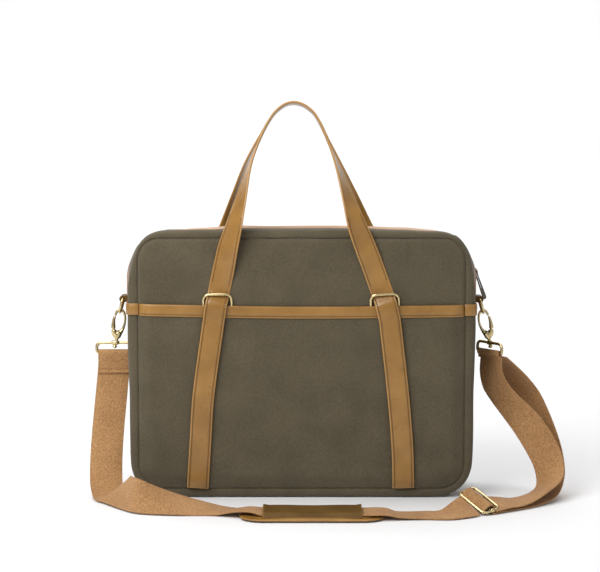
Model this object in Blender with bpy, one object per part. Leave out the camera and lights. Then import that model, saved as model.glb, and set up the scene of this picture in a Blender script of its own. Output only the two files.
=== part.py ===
"""Canvas satchel bag with leather handles and a clip-on webbing shoulder strap.

Frame: +Z up, +X to the wearer's right when the bag is seen from its pocket side, -Y out of the
pocket side.  The origin is the middle of the bag's base, on the floor.  Units are metres.
"""
import math

import bmesh
import bpy
from mathutils import Vector
from mathutils.geometry import tessellate_polygon

GAP = 0.0003

# Bag shell
WIDTH = 0.400
HEIGHT = 0.314
DEPTH = 0.090
TOP_RADIUS = 0.050
BASE_RADIUS = 0.040
ARC_STEPS = 7
WALL = 0.003
SEAM_INSET = 0.0115
FLANGE = 0.0035
PANEL_THICK = 0.0035
JOIN_Z = 0.2200
SIDE_RECESS = 0.009
RECESS_TOP_Z = 0.2060
RECESS_FULL_Z = 0.1880

# Zip
STRIP_END_Y = 0.0125
TAPE_INSET = 0.0008
TAPE_THICK = 0.0011
TEETH_HALF = 0.0021
TEETH_THICK = 0.0022
SLIDER_Z = 0.2590
SLIDER_LENGTH = 0.0130
PULLER_PIVOT = (0.2052, 0.2600)
PULLER_TIP = (0.2163, 0.2290)

# Front pocket and leather band
POCKET_GAP = 0.0048
POCKET_THICK = 0.0020
POCKET_RAMP = 0.0160
BAND_TOP_Z = 0.2262
BAND_HEIGHT = 0.0144
BAND_THICK = 0.0012
BAND_CAP = 0.0011

# Leather straps and handles
STRAP_WIDTH = 0.0252
STRAP_THICK = 0.0025
HANDLE_PIVOT_Z = 0.2465
HANDLE_PIVOT_Y = 0.0478
REAR_SPREAD = 1.08
SPREAD_FULL_Z = 0.3

# Wire hardware
KEEPER_WIRE = 0.0012
D_WIRE = 0.0016
LOOP_WIRE = 0.0016
STRAP_BORE = 0.0020
TAB_BORE = 0.0021
TAB_RADIUS = 0.0038
TAB_HALF = 0.0098
HOLE_SIDES = 12
ADJUSTER_WIRE = 0.0014

# Shoulder strap
WEB_WIDTH = 0.038
WEB_THICK = 0.0016
PAD_CENTRE = (0.0119, -0.1450)
PAD_SIZE = (0.161, 0.054)
PAD_THICK = 0.0042
PAD_LIFT = 0.0004

COLOURS = {
    "canvas": ((0.115, 0.096, 0.062), 0.9, 0.0),
    "leather": ((0.30, 0.155, 0.045), 0.45, 0.0),
    "dark_leather": ((0.10, 0.06, 0.025), 0.55, 0.0),
    "webbing": ((0.36, 0.20, 0.09), 0.95, 0.0),
    "tape": ((0.42, 0.27, 0.18), 0.9, 0.0),
    "brass": ((0.55, 0.44, 0.24), 0.3, 1.0),
    "dark_brass": ((0.22, 0.17, 0.10), 0.35, 1.0),
    "lining": ((0.20, 0.16, 0.10), 0.85, 0.0),
    "board": ((0.08, 0.07, 0.06), 0.7, 0.0),
}


# ---------------------------------------------------------------- mesh helpers

def clear_scene():
    """Remove every object of the startup scene."""
    for item in list(bpy.data.objects):
        bpy.data.objects.remove(item)


def material_for(name, finish):
    """Make the piece's own material."""
    colour, roughness, metallic = COLOURS[finish]
    material = bpy.data.materials.new(name + "_" + finish)
    material.use_nodes = True
    shader = material.node_tree.nodes["Principled BSDF"]
    shader.inputs["Base Color"].default_value = (*colour, 1.0)
    shader.inputs["Roughness"].default_value = roughness
    shader.inputs["Metallic"].default_value = metallic
    return material


def add_piece(name, verts, faces, finish, origin=(0.0, 0.0, 0.0), smooth=False):
    """Make one closed solid whose object origin is at the given point."""
    mesh = bpy.data.meshes.new(name)
    base = Vector(origin)
    mesh.from_pydata([tuple(Vector(v) - base) for v in verts], [], faces)
    work = bmesh.new()
    work.from_mesh(mesh)
    bmesh.ops.triangulate(work, faces=[f for f in work.faces if len(f.verts) > 4])
    bmesh.ops.recalc_face_normals(work, faces=work.faces)
    work.to_mesh(mesh)
    work.free()
    if smooth:
        mesh.shade_smooth()
        mesh.set_sharp_from_angle(angle=math.radians(40))
    piece = bpy.data.objects.new(name, mesh)
    piece.location = base
    mesh.materials.append(material_for(name, finish))
    bpy.context.collection.objects.link(piece)
    return piece


def box(name, low, high, finish, origin=(0.0, 0.0, 0.0)):
    """Make a plain block between two corners."""
    verts = [(x, y, z) for x in (low[0], high[0]) for y in (low[1], high[1]) for z in (low[2], high[2])]
    faces = [(0, 1, 3, 2), (4, 6, 7, 5), (0, 4, 5, 1), (2, 3, 7, 6), (0, 2, 6, 4), (1, 5, 7, 3)]
    return add_piece(name, verts, faces, finish, origin)


def prism(name, loops, place, depth, finish, origin=(0.0, 0.0, 0.0)):
    """Extrude a flat outline, and any holes in it, between two depths.

    place(a, b, d) turns an outline point and a depth into a world point.
    """
    flat = [[Vector((a, b, 0.0)) for a, b in loop] for loop in loops]
    caps = tessellate_polygon(flat)
    points = [p for loop in loops for p in loop]
    verts = [place(a, b, depth[0]) for a, b in points] + [place(a, b, depth[1]) for a, b in points]
    count = len(points)
    faces = [tuple(t) for t in caps] + [tuple(i + count for i in reversed(t)) for t in caps]
    start = 0
    for loop in loops:
        size = len(loop)
        for i in range(size):
            a = start + i
            b = start + (i + 1) % size
            faces.append((a, b, b + count, a + count))
        start += size
    return add_piece(name, verts, faces, finish, origin)


def chord_knots(points):
    """Distances run along a line of points."""
    knots = [0.0]
    for a, b in zip(points, points[1:]):
        knots.append(knots[-1] + (Vector(b) - Vector(a)).length)
    return knots


def smooth_curve(points, steps, knots):
    """Points of a smooth curve through the given points, which stand at the given knots."""
    pts = [Vector(p) for p in points]
    last = len(pts) - 1
    slopes = []
    for i in range(last + 1):
        a = max(i - 1, 0)
        b = min(i + 1, last)
        slopes.append((pts[b] - pts[a]) / (knots[b] - knots[a]))
    out = []
    for i in range(last):
        span = knots[i + 1] - knots[i]
        for k in range(steps):
            t = k / steps
            out.append(pts[i] * (2 * t ** 3 - 3 * t ** 2 + 1) + pts[i + 1] * (3 * t ** 2 - 2 * t ** 3)
                       + (slopes[i] * (t ** 3 - 2 * t ** 2 + t) + slopes[i + 1] * (t ** 3 - t ** 2)) * span)
    out.append(pts[-1])
    return out


def ribbon(name, edges, thick, finish, steps=3, origin=(0.0, 0.0, 0.0)):
    """Make a flat band from its two edges, given as pairs of points."""
    knots = chord_knots([(Vector(a) + Vector(b)) / 2 for a, b in edges])
    left = smooth_curve([e[0] for e in edges], steps, knots)
    right = smooth_curve([e[1] for e in edges], steps, knots)
    mids = [(a + b) / 2 for a, b in zip(left, right)]
    verts = []
    last = len(mids) - 1
    for i, (a, b) in enumerate(zip(left, right)):
        run = mids[min(i + 1, last)] - mids[max(i - 1, 0)]
        normal = (b - a).cross(run).normalized() * (thick / 2)
        verts += [a + normal, b + normal, b - normal, a - normal]
    faces = [(0, 1, 2, 3), tuple(4 * last + k for k in (3, 2, 1, 0))]
    for i in range(last):
        for k in range(4):
            n = (k + 1) % 4
            faces.append((4 * i + k, 4 * i + n, 4 * i + 4 + n, 4 * i + 4 + k))
    return add_piece(name, verts, faces, finish, origin)


def rolled_edges(stations, width):
    """Turn (x, y, z, roll in degrees) stations into the two edges of a band.

    Roll 0 keeps the band's width in the XZ plane, across its run; roll 90 turns it towards -Y.
    """
    mids = [Vector(s[:3]) for s in stations]
    edges = []
    last = len(mids) - 1
    for i, mid in enumerate(mids):
        run = mids[min(i + 1, last)] - mids[max(i - 1, 0)]
        flat = Vector((run.z, 0.0, -run.x)).normalized()
        roll = math.radians(stations[i][3])
        across = flat * math.cos(roll) + Vector((0.0, -1.0, 0.0)) * math.sin(roll)
        edges.append((mid - across * width / 2, mid + across * width / 2))
    return edges


def tube(name, points, radii, finish, closed=False, sides=8, origin=(0.0, 0.0, 0.0)):
    """Make a round wire along points, with one radius or a radius for each point."""
    pts = [Vector(p) for p in points]
    count = len(pts)
    if not isinstance(radii, (list, tuple)):
        radii = [radii] * count
    runs = []
    for i in range(count):
        ahead = pts[(i + 1) % count] if closed else pts[min(i + 1, count - 1)]
        behind = pts[i - 1] if closed or i > 0 else pts[0]
        runs.append((ahead - behind).normalized())
    seed = Vector((0.13, 0.31, 0.94))
    side = (seed - runs[0] * seed.dot(runs[0])).normalized()
    if closed:
        centre = sum(pts, Vector()) / count
        turns = [(pts[i] - centre).cross(pts[(i + 1) % count] - centre) for i in range(count)]
        side = sum(turns, Vector()).normalized()
    verts = []
    for i, point in enumerate(pts):
        side = (side - runs[i] * side.dot(runs[i])).normalized()
        other = runs[i].cross(side)
        for k in range(sides):
            turn = 2 * math.pi * (k + 0.5) / sides
            verts.append(point + (side * math.cos(turn) + other * math.sin(turn)) * radii[i])
    faces = []
    for i in range(count if closed else count - 1):
        a = i * sides
        b = ((i + 1) % count) * sides
        for k in range(sides):
            n = (k + 1) % sides
            faces.append((a + k, a + n, b + n, b + k))
    if not closed:
        faces += [tuple(range(sides)), tuple((count - 1) * sides + k for k in range(sides))]
    return add_piece(name, verts, faces, finish, origin, smooth=True)


def circle_points(radius, start, end, count):
    """Points of a circle's arc about the origin, from one angle to another in degrees."""
    turns = [math.radians(start + (end - start) * k / count) for k in range(count + 1)]
    return [(radius * math.cos(t), radius * math.sin(t)) for t in turns]


def rounded_loop(half_a, half_b, radius, steps=4):
    """Points of a rounded rectangle about the origin, in its own plane."""
    points = []
    for index, (sa, sb) in enumerate(((1, 1), (-1, 1), (-1, -1), (1, -1))):
        for k in range(steps + 1):
            turn = math.pi / 2 * (index + k / steps)
            points.append((sa * (half_a - radius) + radius * math.cos(turn),
                           sb * (half_b - radius) + radius * math.sin(turn)))
    return points


# ---------------------------------------------------------------- bag outline

def outline_arc(centre, radius, start, end, steps=ARC_STEPS):
    """Stations (x, z, outward x, outward z) along one rounded corner."""
    stations = []
    for k in range(steps + 1):
        turn = math.radians(start + (end - start) * k / steps)
        out = (math.cos(turn), math.sin(turn))
        stations.append((centre[0] + radius * out[0], centre[1] + radius * out[1], *out))
    return stations


def top_path(base_z):
    """Outline from the right side at base_z over the top to the left side."""
    half = WIDTH / 2
    inner = half - TOP_RADIUS
    high = HEIGHT - TOP_RADIUS
    return ([(half, base_z, 1.0, 0.0)] + outline_arc((inner, high), TOP_RADIUS, 0, 90)
            + outline_arc((-inner, high), TOP_RADIUS, 90, 180) + [(-half, base_z, -1.0, 0.0)])


def lower_path(top_z, side_levels=()):
    """Outline from the left side at top_z round the base to the right side."""
    half = WIDTH / 2
    inner = half - BASE_RADIUS
    left = [(-half, z, -1.0, 0.0) for z in (top_z, *side_levels)]
    right = [(half, z, 1.0, 0.0) for z in (*reversed(side_levels), top_z)]
    return (left + outline_arc((-inner, BASE_RADIUS), BASE_RADIUS, 180, 270)
            + outline_arc((inner, BASE_RADIUS), BASE_RADIUS, 270, 360) + right)


def inset_points(path, inset):
    """The (x, z) points a set distance inside the outline."""
    return [(x - nx * inset, z - nz * inset) for x, z, nx, nz in path]


def sweep(name, path, section, finish):
    """Carry a section of (inset, y) points along an open outline path."""
    verts = []
    for station in path:
        x, z, nx, nz = station
        verts += [(x - nx * inset, y, z - nz * inset) for inset, y in section(station)]
    size = len(section(path[0]))
    faces = []
    for i in range(len(path) - 1):
        for k in range(size):
            n = (k + 1) % size
            faces.append((i * size + k, i * size + n, i * size + size + n, i * size + size + k))
    faces.append(tuple(range(size)))
    faces.append(tuple((len(path) - 1) * size + k for k in reversed(range(size))))
    return add_piece(name, verts, faces, finish)


def slab(name, points, low_y, high_y, finish):
    """Make a flat panel from an (x, z) outline."""
    return prism(name, [points], lambda a, b, d: (a, d, b), (low_y, high_y), finish)


# ---------------------------------------------------------------- bag shell

def build_shell():
    """Panels, gusset strips and the boards and linings inside them."""
    half = DEPTH / 2
    ring = top_path(JOIN_Z)[1:-1] + lower_path(JOIN_Z)[1:-1]
    panel = inset_points(ring, SEAM_INSET + GAP)
    slab("front_panel", panel, -half, -half + PANEL_THICK, "canvas")
    slab("rear_panel", panel, half - PANEL_THICK, half, "canvas")

    def strip_section(side):
        """Half gusset: the flange seen beside the panel, and the wall behind it."""
        outer = [(SEAM_INSET, half), (0.0030, half), (0.0008, half - 0.0008), (0.0, half - 0.0028),
                 (0.0, STRIP_END_Y), (WALL, STRIP_END_Y), (WALL, half - FLANGE), (SEAM_INSET, half - FLANGE)]
        return lambda station: [(inset, side * y) for inset, y in outer]

    sweep("top_strip_front", top_path(JOIN_Z), strip_section(-1), "canvas")
    sweep("top_strip_rear", top_path(JOIN_Z), strip_section(1), "canvas")

    def gusset_section(station):
        """Full gusset: the flanges, and a middle that sinks in at the bag's sides."""
        z = station[1]
        ramp = (RECESS_TOP_Z - z) / (RECESS_TOP_Z - RECESS_FULL_Z)
        side = max(0.0, -abs(station[3]) + 1.0)
        sink = SIDE_RECESS * min(max(ramp, 0.0), 1.0) * side
        rim = [(SEAM_INSET, half), (0.0030, half), (0.0008, half - 0.0008), (0.0, half - 0.0028)]
        wall = [(0.0, 0.036), (sink * 0.75, 0.031), (sink, 0.025)]
        back = [(sink + WALL, 0.025), (sink * 0.75 + WALL, 0.032), (WALL, 0.0375), (WALL, half - FLANGE)]
        inner = [(SEAM_INSET, half - FLANGE)]
        front = [(inset, -y) for inset, y in rim + wall]
        rear = [(inset, y) for inset, y in reversed(rim + wall)]
        return front + rear + [(i, y) for i, y in reversed(back + inner)] + [(i, -y) for i, y in back + inner]

    levels = (RECESS_TOP_Z, (RECESS_TOP_Z + RECESS_FULL_Z) / 2, RECESS_FULL_Z)
    sweep("lower_gusset", lower_path(JOIN_Z - GAP, levels), gusset_section, "canvas")

    lining = inset_points(ring, SIDE_RECESS + WALL + 0.001)
    slab("front_lining", lining, -half + PANEL_THICK + GAP, -half + PANEL_THICK + 0.0013, "lining")
    slab("rear_lining", lining, half - PANEL_THICK - 0.0013, half - PANEL_THICK - GAP, "lining")
    box("base_board", (-0.155, -0.036, WALL + GAP), (0.155, 0.036, WALL + 0.0025), "board")
    box("padded_divider", (-0.170, 0.0120, 0.0075), (0.170, 0.0180, 0.2700), "lining")
    box("slip_pocket", (-0.090, -0.0392, 0.0600), (0.090, -0.0378, 0.2000), "lining")
    box("divider_strap", (-0.0125, 0.0090, 0.2706), (0.0125, 0.0370, 0.2724), "lining",
        origin=(0.0, 0.0380, 0.2715))


def build_zip():
    """Tapes, tooth rows, end stops, slider and puller."""
    for word, side in (("front", -1), ("rear", 1)):
        tape = [(TAPE_INSET, side * (STRIP_END_Y - GAP)), (TAPE_INSET, side * (TEETH_HALF + GAP)),
                (TAPE_INSET + TAPE_THICK, side * (TEETH_HALF + GAP)),
                (TAPE_INSET + TAPE_THICK, side * (STRIP_END_Y - GAP))]
        sweep("zip_tape_" + word, top_path(JOIN_Z), lambda station, s=tape: s, "tape")
        teeth = [(-0.0002, side * TEETH_HALF), (-0.0002, side * GAP / 2),
                 (TEETH_THICK, side * GAP / 2), (TEETH_THICK, side * TEETH_HALF)]
        sweep("zip_teeth_" + word, top_path(JOIN_Z + 0.004), lambda station, s=teeth: s, "dark_brass")
    for word, side in (("left", -1), ("right", 1)):
        x = side * WIDTH / 2
        box("zip_stop_" + word, (min(x, x - side * 0.002), -0.0022, JOIN_Z + 0.0002),
            (max(x, x - side * 0.002), 0.0022, JOIN_Z + 0.0035), "brass")

    half = WIDTH / 2
    corner = (half - TOP_RADIUS, 0.0, HEIGHT - TOP_RADIUS)
    low = SLIDER_Z - SLIDER_LENGTH / 2
    high = SLIDER_Z + SLIDER_LENGTH / 2
    out = half + 0.0007
    body = [(out, low), (out + 0.0016, low), (out + 0.0016, PULLER_PIVOT[1] - 0.0042),
            (out + 0.0068, PULLER_PIVOT[1] - 0.0034), (out + 0.0068, PULLER_PIVOT[1] + 0.0034),
            (out + 0.0016, PULLER_PIVOT[1] + 0.0042), (out + 0.0016, high), (out, high)]
    eye = [(PULLER_PIVOT[0] + 0.0016 * math.cos(t), PULLER_PIVOT[1] + 0.0016 * math.sin(t))
           for t in (2 * math.pi * k / 8 for k in range(8))]
    prism("zip_slider", [body, eye], lambda a, b, d: (a, d, b), (-0.0014, 0.0014), "dark_brass",
          origin=corner)

    pivot = Vector((PULLER_PIVOT[0], 0.0, PULLER_PIVOT[1]))
    tip = Vector((PULLER_TIP[0], 0.0, PULLER_TIP[1]))
    run = (tip - pivot).normalized()
    thick = run.cross(Vector((0.0, 1.0, 0.0))) * 0.0007
    length = (tip - pivot).length
    fork = [(0.0074, -0.0028), (length - 0.001, -0.0034), (length + 0.001, -0.0018), (length + 0.001, 0.0018),
            (length - 0.001, 0.0034), (0.0074, 0.0028), (0.0030, 0.0030), (-0.0010, 0.0030),
            (-0.0010, 0.0019), (0.0056, 0.0019), (0.0056, -0.0019), (-0.0010, -0.0019),
            (-0.0010, -0.0030), (0.0030, -0.0030)]
    prism("zip_puller", [fork], lambda a, b, d: pivot + run * a + Vector((0.0, b, 0.0)) + thick * d,
          (-1.0, 1.0), "dark_brass", origin=pivot)


def build_front_pocket():
    """Patch pocket on the front, its leather band, and the band's ends on the gusset."""
    face = -DEPTH / 2
    top = BAND_TOP_Z - BAND_THICK - GAP
    edge_path = lower_path(top)
    outer = inset_points(edge_path, SEAM_INSET + 2 * GAP)
    inner = inset_points(edge_path, SEAM_INSET + POCKET_RAMP)
    low = face - GAP
    lift = face - POCKET_GAP
    rings = [[(x, low - POCKET_THICK, z) for x, z in outer], [(x, lift - POCKET_THICK, z) for x, z in inner],
             [(x, lift, z) for x, z in inner], [(x, low, z) for x, z in outer]]
    size = len(outer)
    verts = [p for ring in rings for p in ring]
    faces = []
    for r, s in ((0, 1), (2, 3), (3, 0)):
        for i in range(size - 1):
            faces.append((r * size + i, r * size + i + 1, s * size + i + 1, s * size + i))
    faces.append(tuple(range(size, 2 * size)))
    faces.append(tuple(range(2 * size, 3 * size)))
    faces.append((size, 2 * size - 1, 3 * size - 1, 2 * size))
    faces.append((0, size, 2 * size, 3 * size))
    faces.append((size - 1, 2 * size - 1, 3 * size - 1, 4 * size - 1))
    add_piece("front_pocket", verts, faces, "canvas")

    end_x = WIDTH / 2 - SEAM_INSET - 2 * GAP
    flat_x = WIDTH / 2 - SEAM_INSET - POCKET_RAMP
    cover = lift - POCKET_THICK
    edge = low - POCKET_THICK
    section = [(-GAP - BAND_THICK, -BAND_HEIGHT), (-GAP - BAND_THICK, -0.0008), (-GAP - 0.0006, 0.0),
               (BAND_CAP, 0.0), (BAND_CAP, -BAND_THICK), (-GAP, -BAND_THICK), (-GAP, -BAND_HEIGHT)]
    stations = [(-end_x, edge), (-flat_x, cover), (flat_x, cover), (end_x, edge)]
    size = len(section)
    verts = [(x, y + dy, BAND_TOP_Z + dz) for x, y in stations for dy, dz in section]
    faces = [(i * size + k, i * size + (k + 1) % size, (i + 1) * size + (k + 1) % size, (i + 1) * size + k)
             for i in range(3) for k in range(size)]
    faces += [tuple(range(size)), tuple(3 * size + k for k in reversed(range(size)))]
    add_piece("pocket_band", verts, faces, "leather")

    half = WIDTH / 2
    deep = DEPTH / 2
    for word, side in (("left", -1), ("right", 1)):
        reach = half - SEAM_INSET
        outer = [(reach, -deep - 0.0015), (half, -deep - 0.0015), (half + 0.0015, -deep),
                 (half + 0.0015, deep), (half, deep + 0.0015), (reach, deep + 0.0015)]
        inner = [(reach, deep + GAP), (half - 0.0006, deep + GAP), (half + GAP, deep - 0.0006),
                 (half + GAP, -deep + 0.0006), (half - 0.0006, -deep - GAP), (reach, -deep - GAP)]
        prism("side_band_" + word, [outer + inner], lambda a, b, d, s=side: (s * a, b, d),
              (0.2125, 0.2262), "leather")


# ---------------------------------------------------------------- straps and handles

FRONT_STRAPS = {
    "left": [(-0.1208, 0.0125), (-0.1200, 0.0240), (-0.1174, 0.0624), (-0.1134, 0.1210), (-0.1012, 0.2080),
             (-0.1004, 0.2135), (-0.0982, 0.2275), (-0.0960, 0.2360), (-0.0944, 0.2439)],
    "right": [(0.1182, 0.0125), (0.1180, 0.0240), (0.1170, 0.0576), (0.1120, 0.1186), (0.1017, 0.2080),
              (0.1005, 0.2135), (0.0972, 0.2275), (0.0945, 0.2360), (0.0915, 0.2439)],
}
FRONT_STRAP_Y = [-0.0495, -0.0534, -0.0536, -0.0536, -0.0547, -0.0553, -0.0556, -0.0488, -0.0478]

FRONT_HANDLE = [
    (-0.0936, -0.0479, 0.2489, 0), (-0.0890, -0.0500, 0.2700, 8), (-0.0842, -0.0535, 0.2930, 20),
    (-0.0780, -0.0545, 0.3179, 34), (-0.0710, -0.0410, 0.3499, 48), (-0.0624, -0.0270, 0.3857, 70),
    (-0.0483, -0.0185, 0.4167, 88), (-0.0335, -0.0150, 0.4430, 94), (-0.0210, -0.0138, 0.4545, 96),
    (-0.0088, -0.0135, 0.4578, 97), (0.0040, -0.0138, 0.4540, 96), (0.0165, -0.0150, 0.4425, 94),
    (0.0310, -0.0185, 0.4130, 88), (0.0440, -0.0260, 0.3830, 64), (0.0559, -0.0410, 0.3499, 40),
    (0.0650, -0.0545, 0.3179, 20), (0.0735, -0.0535, 0.2930, 10), (0.0822, -0.0500, 0.2700, 4),
    (0.0899, -0.0479, 0.2489, 0),
]


def rear_spread(z):
    """How much wider apart the rear handle's legs stand at a height."""
    top = FRONT_HANDLE[9][2]
    return 1.0 + (REAR_SPREAD - 1.0) * min(1.0, (top - z) / (top - SPREAD_FULL_Z))


def build_straps():
    """Sewn lower straps and the two handles above them."""
    for word, points in FRONT_STRAPS.items():
        stations = [(x, y, z, 0) for (x, z), y in zip(points, FRONT_STRAP_Y)]
        ribbon("front_strap_" + word, rolled_edges(stations, STRAP_WIDTH), STRAP_THICK, "leather")
        rear = [(x * REAR_SPREAD, DEPTH / 2 + GAP + STRAP_THICK / 2, z, 0) for x, z in points]
        ribbon("rear_strap_" + word, rolled_edges(rear, STRAP_WIDTH), STRAP_THICK, "leather")
    front = rolled_edges(FRONT_HANDLE, STRAP_WIDTH)
    ribbon("front_handle", front, STRAP_THICK, "leather", origin=(0.0, -HANDLE_PIVOT_Y, HANDLE_PIVOT_Z))
    rear = []
    for pair in front:
        rear.append([(p.x * rear_spread(p.z), -p.y, p.z) for p in pair])
    ribbon("rear_handle", rear, STRAP_THICK, "leather", origin=(0.0, HANDLE_PIVOT_Y, HANDLE_PIVOT_Z))


RING_LOW = (0.0, -0.0474, 0.2190)
RING_HIGH = (0.0, -0.0516, 0.2396)
RING_PLACES = (("left", -0.0968, 0.02), ("right", 0.0958, 0.06))
RING_HALF = 0.0158
RING_CORNER = 0.0045
ANCHOR_BORE = 0.0015
ANCHOR_HALF = 0.0021
ANCHOR_LENGTH = 0.0140


def build_keeper_rings():
    """Wire keeper rings round the straps, each held by an anchor tab inside the pocket mouth."""
    low = Vector(RING_LOW)
    high = Vector(RING_HIGH)
    up = (high - low).normalized()
    middle = (low + high) / 2
    for word, x, lean in RING_PLACES:
        across = Vector((math.cos(lean), 0.0, math.sin(lean)))
        rise = (up - across * up.dot(across)).normalized()
        centre = Vector((x, middle.y, middle.z))
        half_high = (high - low).length / 2
        loop = rounded_loop(RING_HALF, half_high, RING_CORNER)
        tube("keeper_ring_" + word, [centre + across * a + rise * b for a, b in loop], KEEPER_WIRE, "brass",
             closed=True, sides=6, origin=tuple(centre - rise * half_high))
        bar = centre - rise * half_high
        hole = circle_points(ANCHOR_BORE, 0, 360, 10)[:-1]
        outer = circle_points(ANCHOR_HALF, 0, 180, 8)
        outer += [(-ANCHOR_HALF, -ANCHOR_LENGTH), (ANCHOR_HALF, -ANCHOR_LENGTH)]
        prism("ring_anchor_" + word, [outer, hole],
              lambda a, b, d, c=bar, w=across: c + w * d + Vector((0.0, a, b)), (-0.0095, 0.0095),
              "dark_leather")


# ---------------------------------------------------------------- side hardware

HANGERS = {
    "left": {"side": -1, "bar": (0.2100, 0.2292), "d_tilt": 14.0, "tilt": 7.5, "yaw": 0.0},
    "right": {"side": 1, "bar": (0.2098, 0.2285), "d_tilt": 15.0, "tilt": 12.5, "yaw": -56.0},
}
D_HALF = 0.0122
D_DROP = 0.0176
HOOK_FRAME = [
    (0.0046, 0.0064, 0.0013),
    (0.0039, 0.0028, 0.0015),
    (0.0022, 0.0006, 0.0017),
    (0.0, 0.0, 0.0017),
    (-0.0024, 0.0008, 0.0017),
    (-0.0045, 0.0036, 0.0017),
    (-0.0056, 0.0080, 0.0017),
    (-0.0060, 0.0140, 0.0018),
    (-0.0056, 0.0200, 0.0019),
    (-0.0036, 0.0252, 0.0023),
    (-0.0012, 0.0284, 0.0031),
    (0.0, 0.0316, 0.0036),
    (0.0, 0.0342, 0.0026),
    (0.0, 0.0354, 0.0015),
    (0.0, 0.0376, 0.0015),
]
HOOK_GATE = [
    (0.0052, 0.0092, 0.0012),
    (0.0062, 0.0124, 0.0018),
    (0.0068, 0.0160, 0.0021),
    (0.0068, 0.0200, 0.0022),
    (0.0060, 0.0236, 0.0021),
    (0.0048, 0.0256, 0.0013),
]
GATE_PIVOT = (0.0046, 0.0258)
LOOP_TOP = 0.0396
LOOP_HALF = (0.0215, 0.0058)
LOOP_CORNER = 0.0022
STUB_TAIL = 0.0220


def hanger_frame(spec):
    """Return the hook's top point, its outward and downward directions, and the loop's width direction."""
    side = spec["side"]
    bar = Vector((side * spec["bar"][0], 0.0, spec["bar"][1]))
    d_turn = math.radians(spec["d_tilt"])
    drop = Vector((side * math.sin(d_turn), 0.0, -math.cos(d_turn)))
    turn = math.radians(spec["tilt"])
    down = Vector((side * math.sin(turn), 0.0, -math.cos(turn)))
    out = Vector((side * math.cos(turn), 0.0, math.sin(turn)))
    top = bar + drop * D_DROP + Vector((0.0, 0.0, D_WIRE + GAP + 0.0017)) - out * 0.0004
    yaw = math.radians(spec["yaw"])
    across = Vector((math.cos(yaw), math.sin(yaw), 0.0))
    return bar, drop, top, out, down, across


def build_side_hardware():
    """Side tabs, D-rings, snap hooks, their base loops and the webbing folded round them."""
    for word, spec in HANGERS.items():
        side = spec["side"]
        bar, drop, top, out, down, across = hanger_frame(spec)

        hole = circle_points(TAB_BORE, 0, 360, HOLE_SIDES)[:-1]
        outer = circle_points(TAB_RADIUS, -90, 90, 10)
        depth = bar.x * side - WIDTH / 2 - GAP
        tail = [(-depth, TAB_RADIUS), (-depth, -0.0020), (-0.0045, -0.0028)]
        prism("side_tab_" + word, [outer + tail, hole],
              lambda a, b, d, c=bar, s=side: (c.x + s * a, d, c.z + b), (-TAB_HALF, TAB_HALF), "dark_leather")

        shoulder = [(D_HALF - 0.0030, 0.0), (D_HALF - 0.0008, 0.0009), (D_HALF, 0.0032)]
        low = D_DROP - D_HALF
        bow = [(a, low + b) for a, b in circle_points(D_HALF, 0, 180, 10)]
        d_points = shoulder + bow + [(-a, b) for a, b in reversed(shoulder)]
        d_world = [bar + Vector((0.0, a, 0.0)) + drop * b for a, b in d_points]
        tube("d_ring_" + word, d_world, D_WIRE, "brass", closed=True, origin=tuple(bar))

        frame = [top + out * u + down * v for u, v, r in HOOK_FRAME]
        tube("hook_frame_" + word, frame, [r for u, v, r in HOOK_FRAME], "brass", origin=tuple(top))
        gate = [top + out * u + down * v for u, v, r in HOOK_GATE]
        pivot = top + out * GATE_PIVOT[0] + down * GATE_PIVOT[1]
        tube("hook_gate_" + word, gate, [r for u, v, r in HOOK_GATE], "brass", origin=tuple(pivot))

        head = top + down * LOOP_TOP
        centre = head - Vector((0.0, 0.0, LOOP_HALF[1]))
        loop = rounded_loop(LOOP_HALF[0], LOOP_HALF[1], LOOP_CORNER)
        tube("base_loop_" + word, [centre + across * a + Vector((0.0, 0.0, b)) for a, b in loop], LOOP_WIRE,
             "brass", closed=True, origin=tuple(bar))

        foot = centre - Vector((0.0, 0.0, LOOP_HALF[1]))
        face = across.cross(Vector((0.0, 0.0, 1.0)))
        wrap = LOOP_WIRE + GAP + WEB_THICK
        hole = circle_points(STRAP_BORE, 0, 360, HOLE_SIDES)[:-1]
        outer = circle_points(wrap, 0, 180, 8)
        if word == "left":
            outer += [(-0.0018, -0.0070), (-0.0018, -STUB_TAIL), (0.0018, -STUB_TAIL), (0.0018, -0.0070)]
        else:
            outer += [(-wrap, -0.0030), (-0.0020, -0.0060), (0.0020, -0.0060), (wrap, -0.0030)]
        prism("strap_end_" + word, [outer, hole],
              lambda a, b, d, c=foot, f=face, w=across: c + f * a + Vector((0.0, 0.0, b)) + w * d,
              (-WEB_WIDTH / 2, WEB_WIDTH / 2), "webbing", origin=tuple(bar))


# ---------------------------------------------------------------- shoulder strap

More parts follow.
